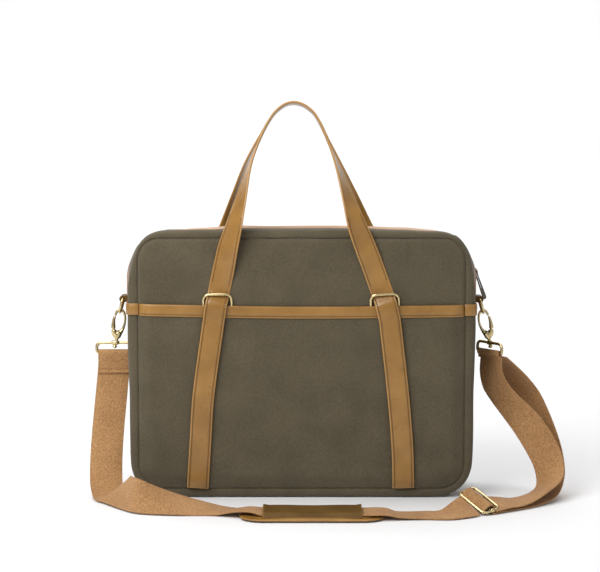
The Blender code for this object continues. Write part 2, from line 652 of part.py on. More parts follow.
STRAP_LEFT_RUN = [
    ((-0.2415, -0.0005, 0.1382), (-0.2040, -0.0005, 0.1382)),
    ((-0.2440, -0.0050, 0.1100), (-0.2062, -0.0050, 0.1100)),
    ((-0.2470, -0.0140, 0.0750), (-0.2092, -0.0140, 0.0750)),
    ((-0.2485, -0.0260, 0.0400), (-0.2108, -0.0230, 0.0400)),
    ((-0.2470, -0.0420, 0.0160), (-0.2100, -0.0330, 0.0140)),
    ((-0.2415, -0.0600, 0.0035), (-0.2080, -0.0450, 0.0050)),
    ((-0.2360, -0.0700, 0.0020), (-0.2020, -0.0620, 0.0150)),
    ((-0.2290, -0.0780, 0.0020), (-0.1960, -0.0780, 0.0310)),
    ((-0.2080, -0.1060, 0.0016), (-0.1930, -0.0960, 0.0360)),
    ((-0.1853, -0.1300, 0.0016), (-0.1800, -0.1200, 0.0370)),
    ((-0.1450, -0.1390, 0.0014), (-0.1470, -0.1060, 0.0200)),
    ((-0.0998, -0.1400, 0.0014), (-0.1020, -0.1030, 0.0060)),
    ((-0.0740, -0.1500, 0.0072), (-0.0750, -0.1130, 0.0030)),
    ((-0.0560, -0.1600, 0.0092), (-0.0570, -0.1230, 0.0068)),
    ((-0.0400, -0.1635, 0.0060), (-0.0400, -0.1260, 0.0060)),
    ((0.0640, -0.1640, 0.0060), (0.0640, -0.1265, 0.0060)),
    ((0.0860, -0.1640, 0.0070), (0.0860, -0.1265, 0.0066)),
    ((0.0950, -0.1632, 0.0064), (0.0950, -0.1258, 0.0060)),
    ((0.1070, -0.1615, 0.0036), (0.1070, -0.1245, 0.0018)),
    ((0.1373, -0.1590, 0.0014), (0.1390, -0.1215, 0.0014)),
    ((0.1660, -0.1600, 0.0014), (0.1560, -0.1235, 0.0030)),
    ((0.1880, -0.1500, 0.0022), (0.1715, -0.1180, 0.0120)),
]
STRAND_FRONT = [
    ((0.2136, 0.0135, 0.1530), (0.2350, -0.0180, 0.1530)),
    ((0.2125, 0.0100, 0.1400), (0.2360, -0.0190, 0.1440)),
    ((0.2160, 0.0060, 0.1220), (0.2425, -0.0200, 0.1300)),
    ((0.2250, 0.0010, 0.1070), (0.2520, -0.0220, 0.1190)),
    ((0.2376, -0.0060, 0.0900), (0.2660, -0.0240, 0.1060)),
    ((0.2513, -0.0130, 0.0710), (0.2800, -0.0260, 0.0915)),
    ((0.2642, -0.0200, 0.0500), (0.2960, -0.0300, 0.0685)),
    ((0.2733, -0.0280, 0.0310), (0.3050, -0.0400, 0.0460)),
    ((0.2745, -0.0400, 0.0140), (0.3020, -0.0590, 0.0260)),
    ((0.2640, -0.0540, 0.0070), (0.2800, -0.0850, 0.0140)),
    ((0.2420, -0.0720, 0.0052), (0.2560, -0.1060, 0.0058)),
    ((0.2215, -0.0880, 0.0110), (0.2330, -0.1220, 0.0058)),
]
STRAND_REAR = [
    ((0.2215, 0.0205, 0.1540), (0.2420, -0.0110, 0.1540)),
    ((0.2330, 0.0260, 0.1430), (0.2560, -0.0030, 0.1470)),
    ((0.2440, 0.0290, 0.1250), (0.2690, 0.0010, 0.1340)),
    ((0.2560, 0.0290, 0.1040), (0.2830, 0.0040, 0.1160)),
    ((0.2680, 0.0250, 0.0810), (0.2930, 0.0000, 0.0950)),
    ((0.2760, 0.0170, 0.0580), (0.3020, -0.0080, 0.0710)),
    ((0.2820, 0.0060, 0.0360), (0.3080, -0.0180, 0.0480)),
    ((0.2840, -0.0090, 0.0150), (0.3080, -0.0360, 0.0250)),
    ((0.2740, -0.0370, 0.0030), (0.2950, -0.0670, 0.0070)),
    ((0.2520, -0.0600, 0.0014), (0.2700, -0.0930, 0.0016)),
    ((0.2290, -0.0790, 0.0014), (0.2430, -0.1130, 0.0014)),
    ((0.2140, -0.0900, 0.0050), (0.2270, -0.1240, 0.0022)),
]
ADJUSTER_CENTRE = (0.1995, -0.1170, 0.0128)
ADJUSTER_LONG = (-0.600, 0.700, 0.390)
ADJUSTER_RUN = (0.820, 0.560, 0.130)
ADJUSTER_HALF = (0.0215, 0.0118)


def build_shoulder_strap():
    """Webbing stretches, slide adjuster and shoulder pad, as they lie round the bag."""
    ribbon("strap_run_left", STRAP_LEFT_RUN, WEB_THICK, "webbing", steps=4)
    ribbon("strap_strand_front", STRAND_FRONT, WEB_THICK, "webbing", steps=4)
    ribbon("strap_strand_rear", STRAND_REAR, WEB_THICK, "webbing", steps=4)

    centre = Vector(ADJUSTER_CENTRE)
    along = Vector(ADJUSTER_LONG).normalized()
    run = Vector(ADJUSTER_RUN)
    run = (run - along * run.dot(along)).normalized()
    loop = rounded_loop(ADJUSTER_HALF[0], ADJUSTER_HALF[1], 0.0035)
    tube("slide_adjuster", [centre + along * a + run * b for a, b in loop], ADJUSTER_WIRE, "brass",
         closed=True)
    reach = ADJUSTER_HALF[0] - ADJUSTER_WIRE - GAP
    tube("adjuster_bar", [centre - along * reach, centre + along * reach], ADJUSTER_WIRE, "brass")

    half_x = PAD_SIZE[0] / 2
    half_y = PAD_SIZE[1] / 2
    pad = [(PAD_CENTRE[0] + a, PAD_CENTRE[1] + b) for a, b in rounded_loop(half_x, half_y, half_y - 0.003, 6)]
    prism("shoulder_pad", [pad], lambda a, b, d: (a, b, d), (PAD_LIFT, PAD_LIFT + PAD_THICK), "leather")
    low = 0.0060 + WEB_THICK / 2 + GAP
    box("pad_sleeve", (PAD_CENTRE[0] - 0.050, PAD_CENTRE[1] - 0.0205, low),
        (PAD_CENTRE[0] + 0.050, PAD_CENTRE[1] + 0.0205, low + 0.0020), "dark_leather")


def main():
    """Build every piece of the bag."""
    clear_scene()
    build_shell()
    build_zip()
    build_front_pocket()
    build_straps()
    build_keeper_rings()
    build_side_hardware()
    build_shoulder_strap()


main()
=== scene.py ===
"""Visual model of a canvas satchel bag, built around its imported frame.

The bag stands on its flat base, +Z up, with its pocket side towards -Y.  Units are metres.  Every
sub-assembly is a class that holds its sizes and builds, dresses and reports its own pieces.
"""
import logging
import math
from dataclasses import dataclass, field
from enum import Enum
from typing import Callable, Sequence

import bmesh
import bpy
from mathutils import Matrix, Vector, noise


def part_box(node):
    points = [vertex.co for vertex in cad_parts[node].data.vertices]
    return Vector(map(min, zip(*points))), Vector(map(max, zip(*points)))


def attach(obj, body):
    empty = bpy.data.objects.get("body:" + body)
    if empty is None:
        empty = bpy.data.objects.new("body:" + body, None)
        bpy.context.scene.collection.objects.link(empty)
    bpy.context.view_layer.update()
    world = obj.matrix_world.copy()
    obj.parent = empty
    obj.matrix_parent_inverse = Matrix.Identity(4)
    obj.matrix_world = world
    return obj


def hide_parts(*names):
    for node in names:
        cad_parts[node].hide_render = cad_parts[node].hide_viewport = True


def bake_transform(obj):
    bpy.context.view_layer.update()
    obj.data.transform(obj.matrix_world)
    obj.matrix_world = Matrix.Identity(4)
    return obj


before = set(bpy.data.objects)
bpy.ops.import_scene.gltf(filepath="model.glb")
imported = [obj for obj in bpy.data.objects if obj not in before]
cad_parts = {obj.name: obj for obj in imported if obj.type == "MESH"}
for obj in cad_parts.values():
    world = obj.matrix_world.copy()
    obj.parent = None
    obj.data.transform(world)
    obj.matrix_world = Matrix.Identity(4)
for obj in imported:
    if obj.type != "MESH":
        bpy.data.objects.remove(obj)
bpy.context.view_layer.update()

Point = tuple[float, float, float]
Station = tuple[float, float, float, float]
LOG = logging.getLogger("satchel")
Piece = bpy.types.Object
Socket = bpy.types.NodeSocket
Feed = Socket | float | Sequence[float]


# ---------------------------------------------------------------- finishes

class Recipe:
    """Builds the node tree of one material."""

    def __init__(self, name: str) -> None:
        """Start a material that has only its principled shader.

        Args:
            name: the material's name.
        """
        self.material = bpy.data.materials.new(name)
        self.material.use_nodes = True
        self.tree = self.material.node_tree
        self.shader = self.tree.nodes["Principled BSDF"]

    def add(self, kind: str, settings: dict | None = None, **inputs) -> bpy.types.Node:
        """Add a node.

        Args:
            kind: the node's type name.
            settings: the node's own properties.
            **inputs: socket values or source sockets, with spaces in names written as underscores.

        Returns:
            The new node.
        """
        node = self.tree.nodes.new(kind)
        for key, value in (settings or {}).items():
            setattr(node, key, value)
        for key, value in inputs.items():
            self.feed(node.inputs[key.replace("_", " ")], value)
        return node

    def feed(self, socket: Socket, value: Feed) -> None:
        """Link a source socket to a socket, or set the socket's value.

        Args:
            socket: the socket to fill.
            value: the source socket, or the number or colour to set.
        """
        if isinstance(value, Socket):
            self.tree.links.new(value, socket)
        else:
            socket.default_value = value

    def mix(self, factor: Feed, first: Feed, second: Feed, blend: str = "MIX") -> Socket:
        """Mix two colours.

        Args:
            factor: the share of the second colour, a number or a socket.
            first: a colour or a socket.
            second: a colour or a socket.
            blend: the blending mode.

        Returns:
            The mixed colour's socket.
        """
        node = self.add("ShaderNodeMix", {"data_type": "RGBA", "blend_type": blend})
        for index, value in ((0, factor), (6, first), (7, second)):
            self.feed(node.inputs[index], value)
        return node.outputs[2]

    def math(self, operation: str, *values: Feed) -> Socket:
        """Combine numbers or sockets with a math node.

        Args:
            operation: the node's operation.
            *values: the numbers or sockets to combine.

        Returns:
            The result's socket.
        """
        node = self.add("ShaderNodeMath", {"operation": operation})
        for socket, value in zip(node.inputs, values):
            self.feed(socket, value)
        return node.outputs[0]

    def noise(self, coords: Socket, scale: float, detail: float = 3.0) -> Socket:
        """Return a noise pattern of a given scale per metre."""
        return self.add("ShaderNodeTexNoise", Vector=coords, Scale=scale, Detail=detail).outputs["Fac"]

    def ramp(self, value: Socket, low: float, high: float) -> Socket:
        """Stretch a value so that low becomes 0 and high becomes 1."""
        node = self.add("ShaderNodeMapRange", Value=value, From_Min=low, From_Max=high)
        return node.outputs["Result"]

    def threads(self, coords: Socket, axis: str, pitch: float,
                wobble: float) -> Socket:
        """Make a pattern of parallel threads.

        Args:
            coords: the coordinates to read.
            axis: the axis that the threads run across.
            pitch: the distance between two threads.
            wobble: how far the threads wander.

        Returns:
            The pattern's socket.
        """
        sine_span = 0.314159
        node = self.add("ShaderNodeTexWave", {"bands_direction": axis}, Vector=coords,
                        Scale=sine_span / pitch, Distortion=wobble, Detail=1.0)
        return node.outputs["Fac"]

    def bump(self, height: Socket, distance: float) -> Socket:
        """Return a normal raised by a height pattern times a distance in metres."""
        return self.add("ShaderNodeBump", Height=height, Distance=distance, Strength=1.0).outputs["Normal"]

    def coords(self, kind: str) -> Socket:
        """Return the UV or Object coordinates."""
        return self.add("ShaderNodeTexCoord").outputs[kind]

    def attribute(self, name: str) -> Socket:
        """Return a number that the mesh holds for each point."""
        return self.add("ShaderNodeAttribute", {"attribute_name": name}).outputs["Fac"]


@dataclass(frozen=True)
class WovenFinish:
    """A woven cloth whose threads follow the piece's UV map, in metres."""

    name: str
    slot: str
    light: tuple[float, float, float]
    dark: tuple[float, float, float]
    pitch_across: float
    pitch_along: float
    relief: float
    speckle: float = 0.5
    sheen: float = 0.15

    def material(self) -> bpy.types.Material:
        """Make the cloth's material.

        Returns:
            The material.
        """
        r = Recipe(self.name)
        uv = r.coords("UV")
        place = r.coords("Object")
        weft = r.threads(uv, "X", self.pitch_across, 0.6)
        warp = r.threads(uv, "Y", self.pitch_along, 0.6)
        weave = r.math("MAXIMUM", weft, warp)
        fluff = r.noise(place, 1500.0, 4.0)
        patches = r.ramp(r.noise(place, 22.0), 0.35, 0.65)
        grains = r.ramp(r.noise(place, 620.0, 2.0), 0.35, 0.65)
        shade = r.math("ADD", r.math("MULTIPLY", grains, self.speckle),
                       r.math("MULTIPLY", patches, 0.22))
        shade = r.math("ADD", shade, r.math("MULTIPLY", weave, 0.30))
        colour = r.mix(shade, (*self.dark, 1.0), (*self.light, 1.0))
        r.feed(r.shader.inputs["Base Color"], colour)
        r.shader.inputs["Roughness"].default_value = 0.88
        r.shader.inputs["Specular IOR Level"].default_value = 0.25
        r.shader.inputs["Sheen Weight"].default_value = self.sheen
        r.shader.inputs["Sheen Roughness"].default_value = 0.5
        height = r.math("ADD", r.math("MULTIPLY", weave, 0.7), r.math("MULTIPLY", fluff, 0.5))
        r.feed(r.shader.inputs["Normal"], r.bump(height, self.relief))
        return r.material


@dataclass(frozen=True)
class LeatherFinish:
    """Smooth finished leather with a fine grain, and edges in a lighter colour that is partly edge paint and
    partly a painted highlight.
    """

    name: str
    slot: str
    light: tuple[float, float, float]
    dark: tuple[float, float, float]
    # edge paint colour, lightened as a painted highlight on the rounded edges
    edge: tuple[float, float, float]
    gloss: float = 0.36
    shine: float = 0.5
    grain: float = 0.00005

    def material(self) -> bpy.types.Material:
        """Make the leather's material.

        Returns:
            The material.
        """
        r = Recipe(self.name)
        place = r.coords("Object")
        patches = r.ramp(r.noise(place, 30.0, 4.0), 0.3, 0.7)
        colour = r.mix(patches, (*self.dark, 1.0), (*self.light, 1.0))
        pores = r.add("ShaderNodeTexVoronoi", Vector=place, Scale=1500.0).outputs["Distance"]
        colour = r.mix(r.math("MULTIPLY", pores, 0.18), colour, (*self.dark, 1.0))
        # painted highlight: the edges take the lighter edge colour, which also stands for their edge paint
        colour = r.mix(r.attribute("edge"), colour, (*self.edge, 1.0))
        r.feed(r.shader.inputs["Base Color"], colour)
        wear = r.math("MULTIPLY", r.noise(place, 90.0, 3.0), 0.16)
        r.feed(r.shader.inputs["Roughness"], r.math("ADD", wear, self.gloss - 0.08))
        r.shader.inputs["Specular IOR Level"].default_value = self.shine
        r.shader.inputs["Coat Weight"].default_value = 0.24 * self.shine
        r.shader.inputs["Coat Roughness"].default_value = 0.3
        height = r.math("ADD", pores, r.noise(place, 420.0, 3.0))
        r.feed(r.shader.inputs["Normal"], r.bump(height, self.grain))
        return r.material


@dataclass(frozen=True)
class MetalFinish:
    """Cast brass with a mottled dark patina, and painted shade in the same dark colour on the inner faces of
    its wires and along gap lines.
    """

    name: str
    slot: str
    bright: tuple[float, float, float]
    # the dark colour serves both the patina mottle and the painted shade on inner faces
    patina_and_shade: tuple[float, float, float]
    polish: float = 0.24

    def material(self) -> bpy.types.Material:
        """Make the metal's material.

        Returns:
            The material.
        """
        r = Recipe(self.name)
        place = r.coords("Object")
        mottle = r.ramp(r.noise(place, 380.0, 4.0), 0.42, 0.75)
        # painted shade: each point's share of shade, darkest on faces that turn towards a wire's middle
        painted_shade = r.ramp(r.attribute("painted_shade"), 0.25, 1.0)
        patina_and_shade_mask = r.math("MAXIMUM", painted_shade, r.math("MULTIPLY", mottle, 0.28))
        r.feed(r.shader.inputs["Base Color"], r.mix(patina_and_shade_mask, (*self.bright, 1.0), (*self.patina_and_shade, 1.0)))
        r.shader.inputs["Metallic"].default_value = 1.0
        r.feed(r.shader.inputs["Roughness"], r.math("ADD", r.math("MULTIPLY", patina_and_shade_mask, 0.3), self.polish))
        scratches = r.noise(place, 2200.0, 2.0)
        r.feed(r.shader.inputs["Normal"], r.bump(scratches, 0.000012))
        return r.material


@dataclass(frozen=True)
class PlainFinish:
    """A moulded or painted surface with faint mottling, such as a board or the studio floor."""

    name: str
    slot: str
    light: tuple[float, float, float]
    dark: tuple[float, float, float]
    roughness: float
    scale: float

    def material(self) -> bpy.types.Material:
        """Make the plain surface's material.

        Returns:
            The material.
        """
        r = Recipe(self.name)
        mottle = r.noise(r.coords("Object"), self.scale, 3.0)
        r.feed(r.shader.inputs["Base Color"], r.mix(mottle, (*self.dark, 1.0), (*self.light, 1.0)))
        r.shader.inputs["Roughness"].default_value = self.roughness
        return r.material


CANVAS = WovenFinish("olive_canvas", "canvas", (0.136, 0.111, 0.068), (0.056, 0.044, 0.025),
                     0.00070, 0.00070, 0.00016, speckle=0.30)
WEBBING = WovenFinish("cotton_webbing", "cotton_webbing", (0.520, 0.290, 0.125), (0.215, 0.100, 0.034),
                      0.0011, 0.00135, 0.00028, speckle=0.55, sheen=0.1)
TAPE = WovenFinish("zip_tape_cloth", "zip_tape", (0.60, 0.40, 0.27), (0.38, 0.235, 0.145),
                   0.0009, 0.0006, 0.00008, speckle=0.3)
LINING = WovenFinish("lining_cloth", "lining", (0.30, 0.24, 0.16), (0.18, 0.14, 0.09),
                     0.0005, 0.0005, 0.00004, speckle=0.2)
# each leather's third colour is its edge paint, lighter than the leather as a painted highlight on the edges
LEATHER = LeatherFinish("caramel_leather", "tan_leather", (0.350, 0.180, 0.040), (0.240, 0.114, 0.020),
                        (0.430, 0.230, 0.066), gloss=0.30)
DARK_LEATHER = LeatherFinish("dark_leather", "dark_leather", (0.150, 0.082, 0.020), (0.085, 0.043, 0.010),
                             (0.22, 0.115, 0.028), gloss=0.50, shine=0.12)
BRASS = MetalFinish("antique_brass", "antique_brass", (0.72, 0.58, 0.31), (0.060, 0.044, 0.024))
DARK_BRASS = MetalFinish("dark_brass", "dark_brass", (0.20, 0.18, 0.15), (0.05, 0.042, 0.030), 0.3)
THREAD = WovenFinish("brown_thread", "tan_leather", (0.130, 0.055, 0.012), (0.065, 0.026, 0.006),
                     0.0004, 0.0004, 0.00003)
BOARD = PlainFinish("stiffener", "base_board", (0.10, 0.09, 0.08), (0.06, 0.05, 0.045), 0.7, 260.0)


Finish = WovenFinish | LeatherFinish | MetalFinish | PlainFinish


class FinishShelf:
    """Makes each finish's material once and hands it out."""

    def __init__(self) -> None:
        """Start with no materials made."""
        self._made: dict[str, bpy.types.Material] = {}

    def get(self, finish: Finish) -> bpy.types.Material:
        """Hand out a finish's material, which is made on first use.

        Args:
            finish: the finish.

        Returns:
            Its material.
        """
        if finish.name not in self._made:
            self._made[finish.name] = finish.material()
        return self._made[finish.name]


SHELF = FinishShelf()


# ---------------------------------------------------------------- mesh making

def chord_knots(points: Sequence[Vector]) -> list[float]:
    """Measure the distance run along a line of points.

    Args:
        points: the line.

    Returns:
        The distance at each point.
    """
    knots = [0.0]
    for a, b in zip(points, points[1:]):
        knots.append(knots[-1] + (Vector(b) - Vector(a)).length)
    return knots


def smooth_curve(points: Sequence[Point], steps: int, knots: Sequence[float]) -> list[Vector]:
    """Return points of a smooth curve.

    Args:
        points: the points that the curve passes through.
        steps: how many points each span gets.
        knots: the distances at which the points stand.

    Returns:
        The curve's points, the last given point included.
    """
    pts = [Vector(p) for p in points]
    last = len(pts) - 1
    slopes = []
    for i in range(last + 1):
        a, b = max(i - 1, 0), min(i + 1, last)
        slopes.append((pts[b] - pts[a]) / (knots[b] - knots[a]))
    out = []
    for i in range(last):
        span = knots[i + 1] - knots[i]
        for k in range(steps):
            t = k / steps
            ahead = 3 * t ** 2 - 2 * t ** 3
            bend = slopes[i] * (t ** 3 - 2 * t ** 2 + t) + slopes[i + 1] * (t ** 3 - t ** 2)
            out.append(pts[i] * (1 - ahead) + pts[i + 1] * ahead + bend * span)
    out.append(pts[-1])
    return out


def ease(value: float) -> float:
    """Turn a share into a share that starts and ends softly, held between 0 and 1."""
    t = min(max(value, 0.0), 1.0)
    return t * t * (3.0 - 2.0 * t)


def ripple(seed: float, *place: float) -> float:
    """Return a smooth random number between about -1 and 1 for a place."""
    x, y, z = (*place, 0.0, 0.0)[:3]
    return noise.noise(Vector((x + seed * 7.31, y - seed * 3.17, z + seed)))


def seat(piece: Piece, finish: Finish, body: str, nodes: Sequence[str]) -> Piece:
    """Dress a piece, let it ride on its body and hide the frame nodes that it stands for.

    Args:
        piece: the finished object.
        finish: the finish that it takes.
        body: the name of the body that it moves with, or nothing for a piece that rides on no body.
        nodes: the frame nodes that it stands for.

    Returns:
        The piece.
    """
    piece.data.materials.clear()
    piece.data.materials.append(SHELF.get(finish))
    if body:
        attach(piece, body)
    if nodes:
        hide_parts(*nodes)
    LOG.info("%s: %d faces on %s", piece.name, len(piece.data.polygons), body or "a blend")
    return piece


@dataclass
class Skin:
    """A surface in the making: its points, its faces with their UV corners, and point numbers."""

    verts: list[Vector] = field(default_factory=list)
    faces: list[tuple[int, ...]] = field(default_factory=list)
    corners: list[list[tuple[float, float]]] = field(default_factory=list)
    numbers: dict[str, list[float]] = field(default_factory=dict)

    def face(self, indices: Sequence[int], uvs: Sequence[tuple[float, float]]) -> None:
        """Add one face with a UV place for each corner."""
        self.faces.append(tuple(indices))
        self.corners.append(list(uvs))

    def cap(self, indices: Sequence[int]) -> None:
        """Close a hole with a fan of triangles about its middle.

        Args:
            indices: the hole's points in order.
        """
        middle = sum((self.verts[i] for i in indices), Vector()) / len(indices)
        self.verts.append(middle)
        for values in self.numbers.values():
            values.append(values[indices[0]])
        centre = len(self.verts) - 1
        for a, b in zip(indices, [*indices[1:], indices[0]]):
            self.face((a, b, centre), [(0.0, 0.0), (0.001, 0.0), (0.0005, 0.001)])

    def grid(self, rows: Sequence[Sequence[Vector]], ring: bool, loop: bool = False,
             caps: bool = True, across: float | None = None) -> None:
        """Add a surface through rows of points.

        Args:
            rows: the rows, each with the same number of points.
            ring: whether each row closes on itself.
            loop: whether the last row joins the first.
            caps: whether the first and last row of a ringed surface are closed.
            across: the UV width of a row, or nothing to measure it.
        """
        start, size, count = len(self.verts), len(rows[0]), len(rows)
        for row in rows:
            self.verts += row
        middles = [sum(row, Vector()) / size for row in rows]
        along = chord_knots([*middles, middles[0]])
        middle_row = rows[count // 2]
        width = chord_knots([*middle_row, middle_row[0]])
        scale = 1.0 if across is None else across / width[size if ring else size - 1]
        for i in range(count if loop else count - 1):
            j = (i + 1) % count
            for k in range(size if ring else size - 1):
                n = (k + 1) % size
                self.face((start + i * size + k, start + i * size + n, start + j * size + n,
                           start + j * size + k),
                          [(width[k] * scale, along[i]), (width[k + 1] * scale, along[i]),
                           (width[k + 1] * scale, along[i + 1]), (width[k] * scale, along[i + 1])])
        if ring and caps and not loop:
            self.cap([start + k for k in range(size)])
            self.cap([start + (count - 1) * size + k for k in range(size)])

    def solid(self, name: str, recalculate: bool = True, sharp: float = 50.0) -> Piece:
        """Turn the surface into an object at the origin.

        Args:
            name: the object's name.
            recalculate: whether the faces of a closed surface are turned outwards.
            sharp: the angle in degrees past which an edge is shaded sharp.

        Returns:
            The object, linked to the scene.
        """
        mesh = bpy.data.meshes.new(name)
        mesh.from_pydata([tuple(v) for v in self.verts], [], self.faces)
        layer = mesh.uv_layers.new(name="UVMap")
        flat = [value for corner in self.corners for uv in corner for value in uv]
        layer.data.foreach_set("uv", flat)
        for key, values in self.numbers.items():
            if len(values) == len(self.verts):
                mesh.attributes.new(key, "FLOAT", "POINT").data.foreach_set("value", values)
        if recalculate:
            work = bmesh.new()
            work.from_mesh(mesh)
            bmesh.ops.recalc_face_normals(work, faces=work.faces)
            work.to_mesh(mesh)
            work.free()
        mesh.shade_smooth()
        mesh.set_sharp_from_angle(angle=math.radians(sharp))
        piece = bpy.data.objects.new(name, mesh)
        bpy.context.scene.collection.objects.link(piece)
        return piece


@dataclass(frozen=True)
class Profile:
    """The closed cross-section of a band: (across, up, edge) with across from -1/2 to 1/2."""

    points: tuple[tuple[float, float, float], ...]

    @classmethod
    def leather(cls, width: float, thick: float, groove: float = 0.0003) -> "Profile":
        """Make a leather strap's section, with round edges in the lighter edge colour (edge paint and a
        painted highlight) and two stitch grooves.

        Args:
            width: the strap's width.
            thick: the strap's thickness.
            groove: the depth of the stitch grooves.

        Returns:
            The section.
        """
        h = thick / 2
        top = [(0.0, 0.0, 1.0), (0.0002, h * 0.60, 1.0), (0.0008, h * 0.92, 0.6), (0.0015, h, 0.0),
               (0.0020, h, 0.0), (0.0026, h - groove, 0.0), (0.0032, h, 0.0),
               (0.0052, h + 0.0001, 0.0), (0.0085, h + 0.0002, 0.0)]
        left = [(a / width - 0.5, b, e) for a, b, e in top]
        right = [(-a, b, e) for a, b, e in reversed(left)]
        under = [(0.5 - 0.0002 / width, -h * 0.6, 1.0), (0.5 - 0.001 / width, -h, 0.3), (0.3, -h, 0.0),
                 (0.0, -h, 0.0), (-0.3, -h, 0.0), (0.001 / width - 0.5, -h, 0.3),
                 (0.0002 / width - 0.5, -h * 0.6, 1.0)]
        return cls(tuple(left + [(0.0, h + 0.0003, 0.0)] + right + under))

    @classmethod
    def webbing(cls, thick: float) -> "Profile":
        """Make a webbing's section, with a woven selvedge at each edge.

        Args:
            thick: the webbing's thickness.

        Returns:
            The section.
        """
        h = thick / 2
        upper = [(-0.5, 0.0, 1.0), (-0.496, h * 0.8, 1.0), (-0.485, h, 1.0), (-0.468, h * 0.92, 0.5),
                 (-0.452, h * 0.72, 0.0), (-0.436, h * 0.92, 0.0), (-0.3, h, 0.0), (-0.15, h, 0.0)]
        right = [(-a, b, e) for a, b, e in reversed(upper)]
        top = upper + [(0.0, h, 0.0)] + right
        under = [(-a, -b, e) for a, b, e in top[1:-1]]
        return cls(tuple(top + under))


@dataclass
class Band:
    """A flat band that follows two edges."""

    name: str
    edges: Sequence[tuple[Point, Point]]
    profile: Profile
    steps: int = 8
    wave: float = 0.0
    cupping: float = 0.0

    def frames(self) -> list[tuple[Vector, Vector, Vector]]:
        """Work out where the band lies at each row.

        Returns:
            The middle, the across vector and the unit normal of each row.
        """
        knots = chord_knots([(Vector(a) + Vector(b)) / 2 for a, b in self.edges])
        left = smooth_curve([e[0] for e in self.edges], self.steps, knots)
        right = smooth_curve([e[1] for e in self.edges], self.steps, knots)
        mids = [(a + b) / 2 for a, b in zip(left, right)]
        last = len(mids) - 1
        out = []
        for i, (a, b) in enumerate(zip(left, right)):
            run = mids[min(i + 1, last)] - mids[max(i - 1, 0)]
            out.append((mids[i], b - a, (b - a).cross(run).normalized()))
        return out

    def middle(self) -> list[Vector]:
        """Return the band's centreline."""
        return [row[0] for row in self.frames()]

    def build(self) -> Piece:
        """Make the band's closed mesh.

        Returns:
            The object.
        """
        skin = Skin(numbers={"edge": []})
        rows = []
        for i, (mid, across, normal) in enumerate(self.frames()):
            row = []
            for a, b, e in self.profile.points:
                sway = self.wave * ripple(2.0, i * 0.05, a * 1.7)
                cup = self.cupping * (4 * a * a - 0.5)
                row.append(mid + across * a + normal * (b + sway + cup))
                skin.numbers["edge"].append(e)
            rows.append(row)
        skin.grid(rows, ring=True)
        return skin.solid(self.name)

    def line(self, place: float, lift: float, start: int = 0, end: int | None = None) -> list[Vector]:
        """Return a line along the band.

        Args:
            place: where the line lies across the band, from -1/2 to 1/2.
            lift: its height over the band's middle surface.
            start: the first row.
            end: the row after the last one.

        Returns:
            The line's points.
        """
        return [mid + across * place + normal * lift for mid, across, normal in self.frames()[start:end]]


def rolled_edges(stations: Sequence[Station], width: float) -> list[tuple[Point, Point]]:
    """Turn (x, y, z, roll in degrees) stations into the two edges of a band.

    Args:
        stations: the stations; roll 0 keeps the width in the XZ plane, roll 90 turns it towards -Y.
        width: the band's width.

    Returns:
        The pairs of edge points.
    """
    mids = [Vector(s[:3]) for s in stations]
    last = len(mids) - 1
    edges = []
    for i, mid in enumerate(mids):
        run = mids[min(i + 1, last)] - mids[max(i - 1, 0)]
        flat = Vector((run.z, 0.0, -run.x)).normalized()
        roll = math.radians(stations[i][3])
        across = flat * math.cos(roll) + Vector((0.0, -1.0, 0.0)) * math.sin(roll)
        edges.append((mid - across * width / 2, mid + across * width / 2))
    return edges


